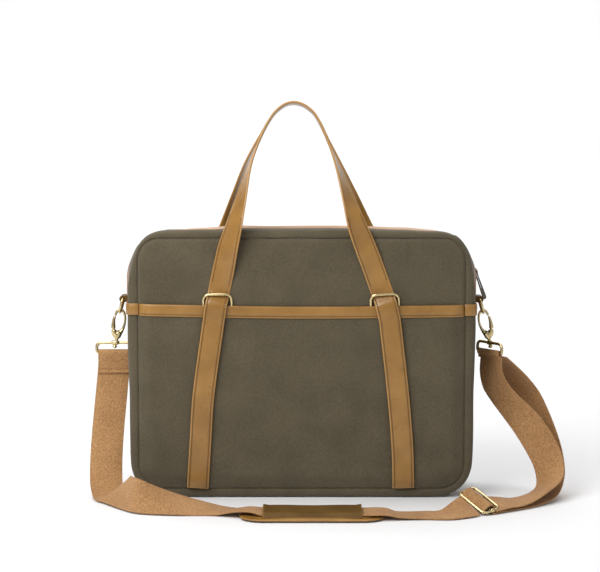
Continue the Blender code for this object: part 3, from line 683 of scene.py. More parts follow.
@dataclass
class Wire:
    """A round wire or a cast arm that follows a line, with a radius for each point."""

    name: str
    points: Sequence[Point]
    radii: float | Sequence[float]
    closed: bool = False
    steps: int = 4
    sides: int = 14
    flatten: float = 1.0
    deepest: float = 1.0
    # the stretch, as shares along the wire, painted dark as the shadow of a gap; the default lies past the
    # end
    gap_shadow_span: tuple[float, float] = (2.0, 2.0)

    def build(self, extra: Sequence["Wire"] = ()) -> Piece:
        """Make the wire's closed mesh, with other wires in the same object.

        Args:
            extra: wires that are cast in one piece with this one.

        Returns:
            The object.
        """
        # each point carries a share of painted shade, which the metal finish turns into darker colour
        skin = Skin(numbers={"painted_shade": []})
        for wire in (self, *extra):
            wire.add_to(skin)
        return skin.solid(self.name)

    def add_to(self, skin: Skin) -> None:
        """Add the wire's surface to a skin.

        Args:
            skin: the skin that takes it.
        """
        given = [Vector(p) for p in self.points]
        radii = list(self.radii) if isinstance(self.radii, (list, tuple)) else [self.radii] * len(given)
        if self.closed:
            given, radii = given + [given[0]], radii + [radii[0]]
        knots = chord_knots(given)
        pts = smooth_curve(given, self.steps, knots)
        sizes = [p.x for p in smooth_curve([(r, 0.0, 0.0) for r in radii], self.steps, knots)]
        if self.closed:
            pts, sizes = pts[:-1], sizes[:-1]
        count = len(pts)
        centre = sum(pts, Vector()) / count
        turns = [(pts[i] - centre).cross(pts[(i + 1) % count] - centre) for i in range(count)]
        plane = sum(turns, Vector())
        seed = Vector((0.13, 0.31, 0.94))
        side = plane.normalized() if plane.length > 1e-9 else seed
        rows, painted_shades = [], []
        for i, point in enumerate(pts):
            ahead = pts[(i + 1) % count] if self.closed else pts[min(i + 1, count - 1)]
            behind = pts[i - 1] if self.closed or i > 0 else pts[0]
            run = (ahead - behind).normalized()
            side = (side - run * side.dot(run)).normalized()
            other = run.cross(side)
            inward = (centre - point).normalized()
            row = []
            for k in range(self.sides):
                turn = 2 * math.pi * k / self.sides
                deep = min(sizes[i] * self.flatten, self.deepest)
                reach = side * math.cos(turn) * deep + other * math.sin(turn) * sizes[i]
                row.append(point + reach)
                # painted shade: full along a painted gap shadow, elsewhere growing as the face turns towards
                # the middle of the wire's points
                dark = self.gap_shadow_span[0] <= i / count <= self.gap_shadow_span[1]
                painted_shades.append(1.0 if dark else max(0.0, reach.normalized().dot(inward)))
            rows.append(row)
        if not self.closed:
            rows = self.round_ends(rows)
            painted_shades = painted_shades[:self.sides] + painted_shades + painted_shades[-self.sides:]
        skin.numbers["painted_shade"] += painted_shades
        skin.grid(rows, ring=True, loop=self.closed)

    @staticmethod
    def round_ends(rows: list[list[Vector]]) -> list[list[Vector]]:
        """Round a wire's ends with a smaller ring past each.

        Args:
            rows: the wire's rings.

        Returns:
            The rings with one more at each end.
        """
        ends = []
        for row, inner in ((rows[0], rows[1]), (rows[-1], rows[-2])):
            middle = sum(row, Vector()) / len(row)
            away = (middle - sum(inner, Vector()) / len(inner)).normalized()
            radius = (row[0] - middle).length
            ends.append([middle + (p - middle) * 0.6 + away * radius * 0.45 for p in row])
        return [ends[0], *rows, ends[1]]


def rounded_loop(half_a: float, half_b: float, radii: Sequence[float], steps: int = 5) -> list[tuple]:
    """Return points of a rounded rectangle about the origin.

    Args:
        half_a: half of its first side.
        half_b: half of its second side.
        radii: the corner radii, anticlockwise from the (+, +) corner.
        steps: how many spans each corner gets.

    Returns:
        The (a, b) points.
    """
    points = []
    signs = ((1, 1), (-1, 1), (-1, -1), (1, -1))
    for index, ((sa, sb), radius) in enumerate(zip(signs, radii)):
        for k in range(steps + 1):
            turn = math.pi / 2 * (index + k / steps)
            points.append((sa * (half_a - radius) + radius * math.cos(turn),
                           sb * (half_b - radius) + radius * math.sin(turn)))
    return points


def slab(name: str, outline: Sequence[tuple[float, float]], place: Callable[[float, float, float], Vector],
         depth: tuple[float, float], bevel: float,
         hole: Sequence[tuple[float, float]] = ()) -> Piece:
    """Make a flat part with rounded edges from an outline and an optional hole.

    Args:
        name: the object's name.
        outline: the outer (a, b) points.
        place: turns an outline point and a depth into a world point.
        depth: the two depths between which the part lies.
        bevel: the width of its rounded edges.
        hole: the hole's (a, b) points.

    Returns:
        The object, with a live bevel.
    """
    work = bmesh.new()
    loops = [outline, hole] if hole else [outline]
    rims = []
    for loop in loops:
        rims.append([[work.verts.new(place(a, b, d)) for a, b in loop] for d in depth])
    for low, high in rims:
        size = len(low)
        for i in range(size):
            n = (i + 1) % size
            work.faces.new((low[i], low[n], high[n], high[i]))
    for side in (0, 1):
        edges = []
        for rim in rims:
            ring = rim[side]
            for a, b in zip(ring, [*ring[1:], ring[0]]):
                edges.append(work.edges.get((a, b)))
        bmesh.ops.triangle_fill(work, edges=edges, use_beauty=True)
    bmesh.ops.recalc_face_normals(work, faces=work.faces)
    mesh = bpy.data.meshes.new(name)
    work.to_mesh(mesh)
    work.free()
    mesh.uv_layers.new(name="UVMap")
    mesh.shade_smooth()
    mesh.set_sharp_from_angle(angle=math.radians(40))
    piece = bpy.data.objects.new(name, mesh)
    bpy.context.scene.collection.objects.link(piece)
    if bevel > 0:
        edge = piece.modifiers.new("rounded edges", "BEVEL")
        edge.width = bevel
        edge.segments = 2
        edge.limit_method = "ANGLE"
        edge.angle_limit = math.radians(50)
        edge.use_clamp_overlap = True
    return piece


class Bead(Enum):
    """The small shapes that repeat along a line."""

    STITCH = "stitch"
    TOOTH = "tooth"


def bead_tree(bead: Bead) -> bpy.types.NodeTree:
    """Build the node tree that sets a small shape at even steps along a line.

    Args:
        bead: the shape that repeats.

    Returns:
        The tree, with the inputs Pitch, Size and Finish.
    """
    tree = bpy.data.node_groups.new(bead.value + "_line", "GeometryNodeTree")
    face = tree.interface
    face.new_socket("Geometry", in_out="OUTPUT", socket_type="NodeSocketGeometry")
    face.new_socket("Geometry", in_out="INPUT", socket_type="NodeSocketGeometry")
    for name, kind in (("Pitch", "Float"), ("Size", "Vector"), ("Finish", "Material")):
        face.new_socket(name, in_out="INPUT", socket_type="NodeSocket" + kind)
    nodes, link = tree.nodes, tree.links.new
    source, result = nodes.new("NodeGroupInput"), nodes.new("NodeGroupOutput")
    curve = nodes.new("GeometryNodeMeshToCurve")
    points = nodes.new("GeometryNodeCurveToPoints")
    points.mode = "LENGTH"
    place = nodes.new("GeometryNodeInstanceOnPoints")
    real = nodes.new("GeometryNodeRealizeInstances")
    dress = nodes.new("GeometryNodeSetMaterial")
    if bead is Bead.STITCH:
        shape = nodes.new("GeometryNodeMeshUVSphere")
        shape.inputs["Segments"].default_value = 6
        shape.inputs["Rings"].default_value = 5
        shape.inputs["Radius"].default_value = 0.5
    else:
        shape = nodes.new("GeometryNodeMeshCylinder")
        shape.inputs["Vertices"].default_value = 8
        shape.inputs["Radius"].default_value = 0.5
        shape.inputs["Depth"].default_value = 1.0
    link(source.outputs["Geometry"], curve.inputs[0])
    link(curve.outputs[0], points.inputs["Curve"])
    link(source.outputs["Pitch"], points.inputs["Length"])
    link(points.outputs["Points"], place.inputs["Points"])
    link(points.outputs["Rotation"], place.inputs["Rotation"])
    link(source.outputs["Size"], place.inputs["Scale"])
    link(shape.outputs["Mesh"], place.inputs["Instance"])
    link(place.outputs["Instances"], real.inputs[0])
    link(real.outputs[0], dress.inputs["Geometry"])
    link(source.outputs["Finish"], dress.inputs["Material"])
    link(dress.outputs[0], result.inputs[0])
    return tree


BEADS = {bead: bead_tree(bead) for bead in Bead}


def bead_lines(name: str, lines: Sequence[Sequence[Vector]], bead: Bead, pitch: float, size: Point,
               finish: Finish) -> Piece:
    """Set small shapes along one or more lines and return them as one plain mesh.

    Args:
        name: the object's name.
        lines: the lines, each a run of points.
        bead: the shape that repeats.
        pitch: the distance between two shapes.
        size: the shape's size across, across and along the line.
        finish: the finish of the shapes.

    Returns:
        The object, at the origin.
    """
    verts, edges = [], []
    for points in lines:
        base = len(verts)
        verts += [tuple(p) for p in points]
        edges += [(base + i, base + i + 1) for i in range(len(points) - 1)]
    mesh = bpy.data.meshes.new(name + "_path")
    mesh.from_pydata(verts, edges, [])
    path = bpy.data.objects.new(name + "_path", mesh)
    bpy.context.scene.collection.objects.link(path)
    tool = path.modifiers.new("repeat", "NODES")
    tool.node_group = BEADS[bead]
    keys = {item.name: item.identifier for item in BEADS[bead].interface.items_tree
            if item.in_out == "INPUT"}
    tool[keys["Pitch"]] = pitch
    tool[keys["Size"]] = size
    tool[keys["Finish"]] = SHELF.get(finish)
    depsgraph = bpy.context.evaluated_depsgraph_get()
    made = bpy.data.meshes.new_from_object(path.evaluated_get(depsgraph))
    bpy.data.objects.remove(path)
    made.name = name
    made.shade_smooth()
    piece = bpy.data.objects.new(name, made)
    bpy.context.scene.collection.objects.link(piece)
    return piece


# ---------------------------------------------------------------- bag shell

@dataclass
class Outline:
    """The bag's rounded outline, seen from the pocket side."""

    half: float
    height: float
    top_radius: float = 0.050
    base_radius: float = 0.040
    spacing: float = 0.006

    def straight(self, a: tuple[float, float], b: tuple[float, float], out: tuple[float, float]) -> list:
        """Space stations evenly between two points, without the last one.

        Args:
            a: the first point.
            b: the last point.
            out: the outward direction.

        Returns:
            The stations.
        """
        length = math.dist(a, b)
        count = max(1, round(length / self.spacing))
        return [(a[0] + (b[0] - a[0]) * k / count, a[1] + (b[1] - a[1]) * k / count, *out)
                for k in range(count)]

    def arc(self, centre: tuple[float, float], radius: float, start: float) -> list:
        """Space stations round a quarter turn, without the last one.

        Args:
            centre: the turn's centre.
            radius: its radius.
            start: its first angle in degrees.

        Returns:
            The stations.
        """
        count = max(8, round(radius * math.pi / 2 / self.spacing * 1.6))
        turns = [math.radians(start + 90.0 * k / count) for k in range(count)]
        return [(centre[0] + radius * math.cos(t), centre[1] + radius * math.sin(t),
                 math.cos(t), math.sin(t)) for t in turns]

    def loop(self, seam_z: float) -> list[Station]:
        """Go once round the outline, anticlockwise from the right side.

        Args:
            seam_z: the height to start and end at.

        Returns:
            The (x, z, outward x, outward z) stations.
        """
        h, t, b = self.half, self.top_radius, self.base_radius
        top, base = self.height - t, b
        return (self.straight((h, seam_z), (h, top), (1.0, 0.0)) + self.arc((h - t, top), t, 0)
                + self.straight((h - t, self.height), (t - h, self.height), (0.0, 1.0))
                + self.arc((t - h, top), t, 90)
                + self.straight((-h, top), (-h, seam_z), (-1.0, 0.0))
                + self.straight((-h, seam_z), (-h, base), (-1.0, 0.0)) + self.arc((b - h, base), b, 180)
                + self.straight((b - h, 0.0), (h - b, 0.0), (0.0, -1.0)) + self.arc((h - b, base), b, 270)
                + self.straight((h, base), (h, seam_z), (1.0, 0.0)))

    @staticmethod
    def tighten(nx: float, nz: float, radius: float, tight: float) -> float:
        """Return how much further out a tighter corner lies than a round one between the same sides.

        Args:
            nx: the direction's sideways share.
            nz: the direction's upward share.
            radius: the round corner's radius.
            tight: the tighter corner's radius.

        Returns:
            The distance along the direction from the round corner to the tighter one.
        """
        gap = radius - tight
        wide, narrow = max(abs(nx), abs(nz)), min(abs(nx), abs(nz))
        if radius * narrow / wide <= gap:
            return radius / wide - radius
        along = gap * (wide + narrow)
        return along + math.sqrt(tight ** 2 - 2 * gap ** 2 + along ** 2) - radius

    def upper(self, seam_z: float) -> list[Station]:
        """Go from the right side over the top to the left side.

        Args:
            seam_z: the height of both ends.

        Returns:
            The stations.
        """
        loop = self.loop(seam_z)
        end = next(i for i, s in enumerate(loop) if s[0] < 0 and abs(s[1] - seam_z) < 1e-9)
        return loop[:end + 1]

    def lower(self, seam_z: float) -> list[Station]:
        """Go from the left side round the base to the right side.

        Args:
            seam_z: the height of both ends.

        Returns:
            The stations.
        """
        loop = self.loop(seam_z)
        start = next(i for i, s in enumerate(loop) if s[0] < 0 and abs(s[1] - seam_z) < 1e-9)
        return loop[start:] + [loop[0]]


@dataclass
class BagShell:
    """Canvas panels and gussets, and the soft pieces that they hold."""

    outline: Outline
    half_depth: float
    join_z: float = 0.2200
    seam_inset: float = 0.0115
    strip_end: float = 0.0122
    side_recess: float = 0.009
    recess_levels: tuple[float, float] = (0.2060, 0.1880)
    cloth: float = 0.0022
    seam_corner: float = 0.0240
    rim_corner: float = 0.0430

    def push(self, z: float, nx: float, nz: float, inset: float) -> float:
        """Return how far the top corners stand out past a round corner at an inset.

        Args:
            z: the height on the outline.
            nx: the outward direction's sideways share.
            nz: the outward direction's upward share.
            inset: the distance inwards from the outline.

        Returns:
            The extra distance outwards.
        """
        outline, s = self.outline, self.seam_inset
        if z < outline.height - outline.top_radius - 0.001 or nz < 0:
            return 0.0
        seam = outline.tighten(nx, nz, outline.top_radius - s, self.seam_corner)
        rim = outline.tighten(nx, nz, outline.top_radius, self.rim_corner)
        share = min(max(inset / s, 0.0), 1.0)
        fade = 1.0 - ease((inset - s) / 0.035)
        return (rim + (seam - rim) * share) * fade

    def panel_rings(self, stations: Sequence[Station], inset: float) -> list[list[tuple]]:
        """Return rings of (x, z, distance from the seam) from a panel's edge to its middle.

        Args:
            stations: the outline's stations, as a closed loop.
            inset: how far the panel's edge lies inside the outline.

        Returns:
            The rings, from the outside inwards.
        """
        depths = (0.0, 0.0006, 0.0014, 0.0026, 0.0042, 0.0065, 0.0100, 0.0150, 0.0210)
        rings = []
        for d in depths:
            ring = []
            for x, z, nx, nz in stations:
                back = inset + d - self.push(z, nx, nz, inset + d)
                ring.append((x - nx * back, z - nz * back, d))
            rings.append(ring)
        last = rings[-1]
        centre = (0.0, sum(p[1] for p in last) / len(last))
        for share in (0.12, 0.24, 0.36, 0.48, 0.60, 0.72, 0.84, 0.95):
            ring = []
            for x, z, d in last:
                to_x, to_z = centre[0] - x, centre[1] - z
                ring.append((x + to_x * share, z + to_z * share, d + math.hypot(to_x, to_z) * share))
            rings.append(ring)
        return rings

    def quilt(self, name: str, rings: Sequence[Sequence[tuple]], surface: Callable, side: int,
              finish: Finish = CANVAS) -> Piece:
        """Make a soft panel from rings.

        Args:
            name: the object's name.
            rings: the rings of (x, z, distance from the edge).
            surface: gives the outward depth for x, z and the distance from the edge.
            side: -1 for the pocket side, 1 for the back.
            finish: the panel's finish.

        Returns:
            The object, thickened by a live modifier.
        """
        skin = Skin()
        size = len(rings[0])
        for ring in rings:
            skin.verts += [Vector((x, side * surface(x, z, d), z)) for x, z, d in ring]
        for i in range(len(rings) - 1):
            for k in range(size):
                n = (k + 1) % size
                quad = (i * size + k, i * size + n, (i + 1) * size + n, (i + 1) * size + k)
                quad = quad if side > 0 else quad[::-1]
                skin.face(quad, [(skin.verts[j].x, skin.verts[j].z) for j in quad])
        middle = sum(skin.verts[-size:], Vector()) / size
        skin.verts.append(middle)
        for k in range(size):
            tri = (len(skin.verts) - 1, (len(rings) - 1) * size + k, (len(rings) - 1) * size + (k + 1) % size)
            tri = tri if side > 0 else tri[::-1]
            skin.face(tri, [(skin.verts[j].x, skin.verts[j].z) for j in tri])
        panel = skin.solid(name, recalculate=False, sharp=80.0)
        self.thicken(panel, self.cloth)
        return panel

    @staticmethod
    def thicken(piece: Piece, thick: float) -> None:
        """Give a sheet its thickness, inwards from the side that its faces point to.

        Args:
            piece: the sheet.
            thick: its thickness.
        """
        wall = piece.modifiers.new("cloth thickness", "SOLIDIFY")
        wall.thickness = thick
        wall.offset = -1.0

    def panel_depth(self, x: float, z: float, d: float) -> float:
        """Work out how far out a padded panel lies, from its seam to its soft middle.

        Args:
            x: the place's x.
            z: the place's z.
            d: the distance from the seam.

        Returns:
            The depth.
        """
        plump = 0.0026 * ease(d / 0.0032) + 0.0010 * ease(d / 0.06)
        soft = 0.0005 * ripple(1.0, x * 13, z * 11) * ease(d / 0.02)
        pucker = 0.00035 * ripple(4.0, x * 120, z * 120) * (1 - ease((d - 0.001) / 0.006)) * ease(d / 0.001)
        return self.half_depth - 0.0026 + plump + soft + pucker

    def panels(self) -> None:
        """Make the front and rear panels."""
        stations = self.outline.loop(self.join_z)[:-1]
        rings = self.panel_rings(stations, self.seam_inset + 0.0003)
        for word, side in (("front", -1), ("rear", 1)):
            panel = self.quilt("canvas_" + word, rings, self.panel_depth, side)
            seat(panel, CANVAS, "root", [word + "_panel"])

    def rim_section(self) -> list[tuple[float, float]]:
        """Draw the padded rim, from the seam groove to the flat side.

        Returns:
            Its (inset, depth) points.
        """
        s, h = self.seam_inset, self.half_depth
        return [(s + 0.0001, h - 0.0040), (s - 0.0001, h - 0.0022), (s - 0.0006, h - 0.0008),
                (s - 0.0015, h + 0.0001),
                (s - 0.0030, h + 0.0006), (s - 0.0050, h + 0.0007), (0.0046, h + 0.0004),
                (0.0030, h - 0.0002),
                (0.0017, h - 0.0013), (0.0008, h - 0.0028), (0.0002, h - 0.0048), (0.0, h - 0.0075)]

    def swell(self, x: float, z: float) -> float:
        """Work out how far the soft outline stands out, fullest halfway up the sides.

        Args:
            x: the place's x.
            z: the place's z.

        Returns:
            The distance outwards.
        """
        wave = 0.0005 * ripple(3.0, x * 24, z * 24)
        if z > self.outline.height - 0.008:
            ends = 0.0010 * ease((abs(x) - 0.11) / 0.05) + 0.0010 * ease((x - 0.08) / 0.07)
            return wave - 0.0008 - ends
        full = 0.0020 * math.exp(-((z - 0.195) / 0.060) ** 2)
        narrow = 0.0042 * ease((z - 0.245) / 0.040) * (1.0 - ease((z - 0.285) / 0.025) * 0.6)
        foot = 0.0012 * ease((0.055 - z) / 0.03) * (z > 0.002)
        return wave + full - narrow - foot

    def strip(self, name: str, side: int, node: str) -> None:
        """Make one half of the zip gusset, which runs from a seam to the zip tape.

        Args:
            name: the piece's name.
            side: -1 for the front and 1 for the rear.
            node: the frame node that it stands for.
        """
        inner = [(0.0, 0.034), (0.0, 0.026), (-0.0002, 0.019), (-0.0005, self.strip_end + 0.0010),
                 (-0.0001, self.strip_end), (0.0010, self.strip_end + 0.0006), (0.0019, 0.019),
                 (0.0024, 0.034),
                 (0.0030, self.half_depth - 0.0060), (0.0060, self.half_depth - 0.0034),
                 (self.seam_inset, self.half_depth - 0.0050)]
        section = self.rim_section() + inner
        rows = []
        for x, z, nx, nz in self.outline.upper(self.join_z):
            row = []
            for inset, y in section:
                free = ease((0.040 - y) / 0.025)
                out = 1.0 - min(inset / self.seam_inset, 1.0)
                bow = self.crown(x, z)
                lift = bow * (0.45 if bow > 0 else 0.85) * free + self.swell(x, z) * out * (1 - free)
                lift += self.push(z, nx, nz, inset) * (1 - free) - 0.0014 * free * ease((z - 0.300) / 0.012)
                if side > 0:
                    drop = 0.0030 + 0.0014 * ease((abs(x) - 0.07) / 0.05)
                    lift -= drop * ease(nz / 0.35) * (1 - free) * out
                row.append(Vector((x - nx * (inset - lift), side * y, z - nz * (inset - lift))))
            rows.append(row)
        skin = Skin()
        skin.grid(rows, ring=True)
        seat(skin.solid(name, sharp=70.0), CANVAS, "root", [node])

    def crown(self, x: float, z: float) -> float:
        """Work out how far the zip bows outwards at a place on the outline.

        Args:
            x: the place's x.
            z: the place's z.

        Returns:
            The distance outwards.
        """
        top = ease((z - 0.290) / 0.022)
        side = ease((0.284 - z) / 0.030) * ease((z - self.join_z - 0.002) / 0.010)
        sway = 0.0005 * ripple(6.0, x * 30) + 0.0003 * math.sin(x * 60)
        dip = 0.0005 + 0.0021 * ease((abs(x) - 0.07) / 0.05) + 0.0024 * ease((abs(x) - 0.115) / 0.04)
        return (sway - dip) * top + 0.0046 * side

    def lower_gusset(self) -> None:
        """Make the deep gusset round the sides and base, with its sides folded softly inwards."""
        high, full = self.recess_levels
        rim = self.rim_section()
        rows = []
        for x, z, nx, nz in self.outline.lower(self.join_z):
            sink = self.side_recess * ease((high - z) / (high - full)) * max(0.0, 1.0 - abs(nz))
            wall = [(0.0, 0.0365), (sink * 0.30, 0.0335), (sink * 0.75, 0.0305), (sink * 0.97, 0.0265),
                    (sink, 0.0190), (sink, 0.0090), (sink, 0.0)]
            outer = rim + wall
            inner = [(min(i, sink) + 0.0028, y) for i, y in reversed(wall)] + [
                (0.0030, self.half_depth - 0.0060), (0.0060, self.half_depth - 0.0034),
                (self.seam_inset, self.half_depth - 0.0050)]
            swell = self.swell(x, z) * (z > 0.002)
            outer = [(i - swell * (1.0 - min(i / self.seam_inset, 1.0)), y) for i, y in outer]
            front = [(i, -y) for i, y in outer]
            rear = [(i, y) for i, y in reversed(outer[:-1])]
            back = [(i, y) for i, y in reversed(inner)] + [(i, -y) for i, y in inner[1:]]
            rows.append([Vector((x - nx * i, y, max(z - nz * i, 0.0002))) for i, y in front + rear + back])
        skin = Skin()
        skin.grid(rows, ring=True)
        seat(skin.solid("canvas_gusset", sharp=70.0), CANVAS, "root", ["lower_gusset"])

    def inside(self) -> None:
        """Make the quilted laptop divider and dress the linings and boards."""
        low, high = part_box("padded_divider")
        skin = Skin()
        rows_up, rows_across = 36, 44
        for side in (-1, 1):
            start = len(skin.verts)
            for i in range(rows_up + 1):
                for k in range(rows_across + 1):
                    u, v = k / rows_across, i / rows_up
                    rim = ease(min(u, 1 - u) * 22) * ease(min(v, 1 - v) * 20)
                    quilt = 0.5 + 0.5 * abs(math.sin(u * math.pi * 7))
                    half = (high.y - low.y) / 2 * (0.35 + 0.65 * rim * (0.6 + 0.4 * quilt))
                    x, z = low.x + (high.x - low.x) * u, low.z + (high.z - low.z) * v
                    skin.verts.append(Vector((x, (low.y + high.y) / 2 + side * half, z)))
            for i in range(rows_up):
                for k in range(rows_across):
                    a = start + i * (rows_across + 1) + k
                    quad = (a, a + 1, a + rows_across + 2, a + rows_across + 1)
                    skin.face(quad, [(skin.verts[j].x, skin.verts[j].z) for j in quad])
        block = (rows_up + 1) * (rows_across + 1)
        rim = ([k for k in range(rows_across)] + [i * (rows_across + 1) + rows_across for i in range(rows_up)]
               + [rows_up * (rows_across + 1) + k for k in range(rows_across, 0, -1)]
               + [i * (rows_across + 1) for i in range(rows_up, 0, -1)])
        for a, b in zip(rim, [*rim[1:], rim[0]]):
            quad = (a, b, b + block, a + block)
            skin.face(quad, [(0.0, 0.0), (0.01, 0.0), (0.01, 0.003), (0.0, 0.003)])
        divider = skin.solid("quilted_divider")
        seat(divider, LINING, "root", ["padded_divider"])
        for node in ("front_lining", "rear_lining", "slip_pocket", "divider_strap"):
            dress_node(node, LINING)
        dress_node("base_board", BOARD)

    def build(self) -> None:
        """Make every piece of the shell."""
        self.panels()
        self.strip("gusset_strip_front", -1, "top_strip_front")
        self.strip("gusset_strip_rear", 1, "top_strip_rear")
        self.lower_gusset()
        self.inside()


def dress_node(node: str, finish: Finish) -> None:
    """Give a frame node that stays visible its finish.

    Args:
        node: the node's name.
        finish: the finish that it takes.
    """
    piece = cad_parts[node]
    piece.data.materials.clear()
    piece.data.materials.append(SHELF.get(finish))
    LOG.info("%s: frame node dressed", node)


@dataclass
class Zip:
    """Zip tapes, teeth, stops, slider and puller."""

    shell: BagShell
    tape_edge: float = 0.0150
    tooth_pitch: float = 0.0016
    start_z: float = 0.2245

    def stations(self) -> list[Station]:
        """Follow the outline along the zip, bowed outwards.

        Returns:
            The stations.
        """
        out = []
        for x, z, nx, nz in self.shell.outline.upper(self.shell.join_z):
            lift = self.shell.crown(x, z)
            out.append((x + nx * lift, z + nz * lift, nx, nz))
        return out

    def tapes(self) -> None:
        """Make the two woven tapes, each folded up softly beside the teeth."""
        for word, side in (("front", -1), ("rear", 1)):
            rows = []
            for x, z, nx, nz in self.stations():
                sink = 0.0012 * ease((z - 0.300) / 0.012)
                section = [(0.0022 + sink, self.tape_edge), (0.0012 + sink, self.shell.strip_end - 0.0006),
                           (0.0006 + sink * 0.9, 0.0098), (-0.0002 + sink * 0.5, 0.0070), (-0.0009, 0.0046),
                           (-0.0008, 0.0028), (0.0001, 0.0014), (0.0009, 0.0012), (0.0003, 0.0034),
                           (0.0007 + sink * 0.4, 0.0062), (0.0018 + sink, 0.0100),
                           (0.0032 + sink, self.tape_edge)]
                rows.append([Vector((x - nx * i, side * y, z - nz * i)) for i, y in section])
            skin = Skin()
            skin.grid(rows, ring=True)
            seat(skin.solid("woven_tape_" + word, sharp=80.0), TAPE, "root", ["zip_tape_" + word])
            # dark thread stitches along each tape by the gusset strip, which also stand in for the shaded gap
            # where canvas meets tape
            seam = [row[2] + (row[3] - row[2]) * 0.3 for row in rows[3:-3]]
            stitches = bead_lines("tape_stitches_and_gap_shade_" + word, [seam], Bead.STITCH, 0.0030,
                                  (0.0013, 0.0008, 0.0021), THREAD)
            seat(stitches, THREAD, "root", [])

    def teeth(self) -> None:
        """Set the moulded teeth along both tapes."""
        for word, side, shift in (("front", -1, 0.0), ("rear", 1, 0.5)):
            stations = [s for s in self.stations() if s[1] > self.start_z]
            line = [Vector((x - nx * 0.0006, side * 0.0011, z - nz * 0.0006)) for x, z, nx, nz in stations]
            start = line[0].lerp(line[1], 0.25 * shift)
            row = bead_lines("zip_tooth_row_" + word, [[start, *line[1:]]], Bead.TOOTH, self.tooth_pitch,
                             (0.0022, 0.0018, 0.0008), DARK_BRASS)
            seat(row, DARK_BRASS, "root", ["zip_teeth_" + word])
        for word in ("left", "right"):
            dress_node("zip_stop_" + word, BRASS)

    def slider(self) -> None:
        """Make the slider with its bridge, and the fork-shaped puller that hangs from it."""
        low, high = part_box("zip_slider")
        x, middle = low.x, (low.z + high.z) / 2
        half = (high.z - low.z) / 2
        body = [(x, -half), (x + 0.0018, -half), (x + 0.0022, -0.0034), (x + 0.0050, -0.0026),
                (x + 0.0070, -0.0002), (x + 0.0068, 0.0028), (x + 0.0044, 0.0048), (x + 0.0022, 0.0052),
                (x + 0.0016, half), (x, half)]
        hole = [(x + 0.0045 + 0.0015 * math.cos(t), 0.0010 + 0.0015 * math.sin(t))
                for t in (2 * math.pi * k / 10 for k in range(10))]
        slider = slab("slider_body", body, lambda a, b, d: Vector((a, d, middle + b)), (-0.0015, 0.0015),
                      0.0004, hole)
        seat(slider, DARK_BRASS, "zip_slider", ["zip_slider"])
        pivot = Vector((0.2052, 0.0, 0.2600))
        tip = Vector((0.2163, 0.0, 0.2290))
        run = (tip - pivot).normalized()
        turn = math.radians(38.0)
        flat = run.cross(Vector((0.0, 1.0, 0.0)))
        wide = Vector((0.0, 1.0, 0.0)) * math.cos(turn) + flat * math.sin(turn)
        face = run.cross(wide)
        length = (tip - pivot).length
        half_fork = [(-0.0052, 0.0), (-0.0046, 0.0018), (-0.0026, 0.0029), (0.0010, 0.0030), (0.0060, 0.0021),
                     (0.0120, 0.0024), (length - 0.0030, 0.0034), (length, 0.0030), (length + 0.0012, 0.0)]
        outer = half_fork + [(a, -b) for a, b in reversed(half_fork[1:-1])]
        slot = [(-0.0036, -0.0012), (0.0200, -0.0012), (0.0200, 0.0012), (-0.0036, 0.0012)]
        puller = slab("puller_tab", outer, lambda a, b, d: pivot + run * a + wide * b + face * d,
                      (-0.0008, 0.0008), 0.0003, slot)
        seat(puller, DARK_BRASS, "zip_puller", ["zip_puller"])

    def build(self) -> None:
        """Make every piece of the zip."""
        self.tapes()
        self.teeth()
        self.slider()


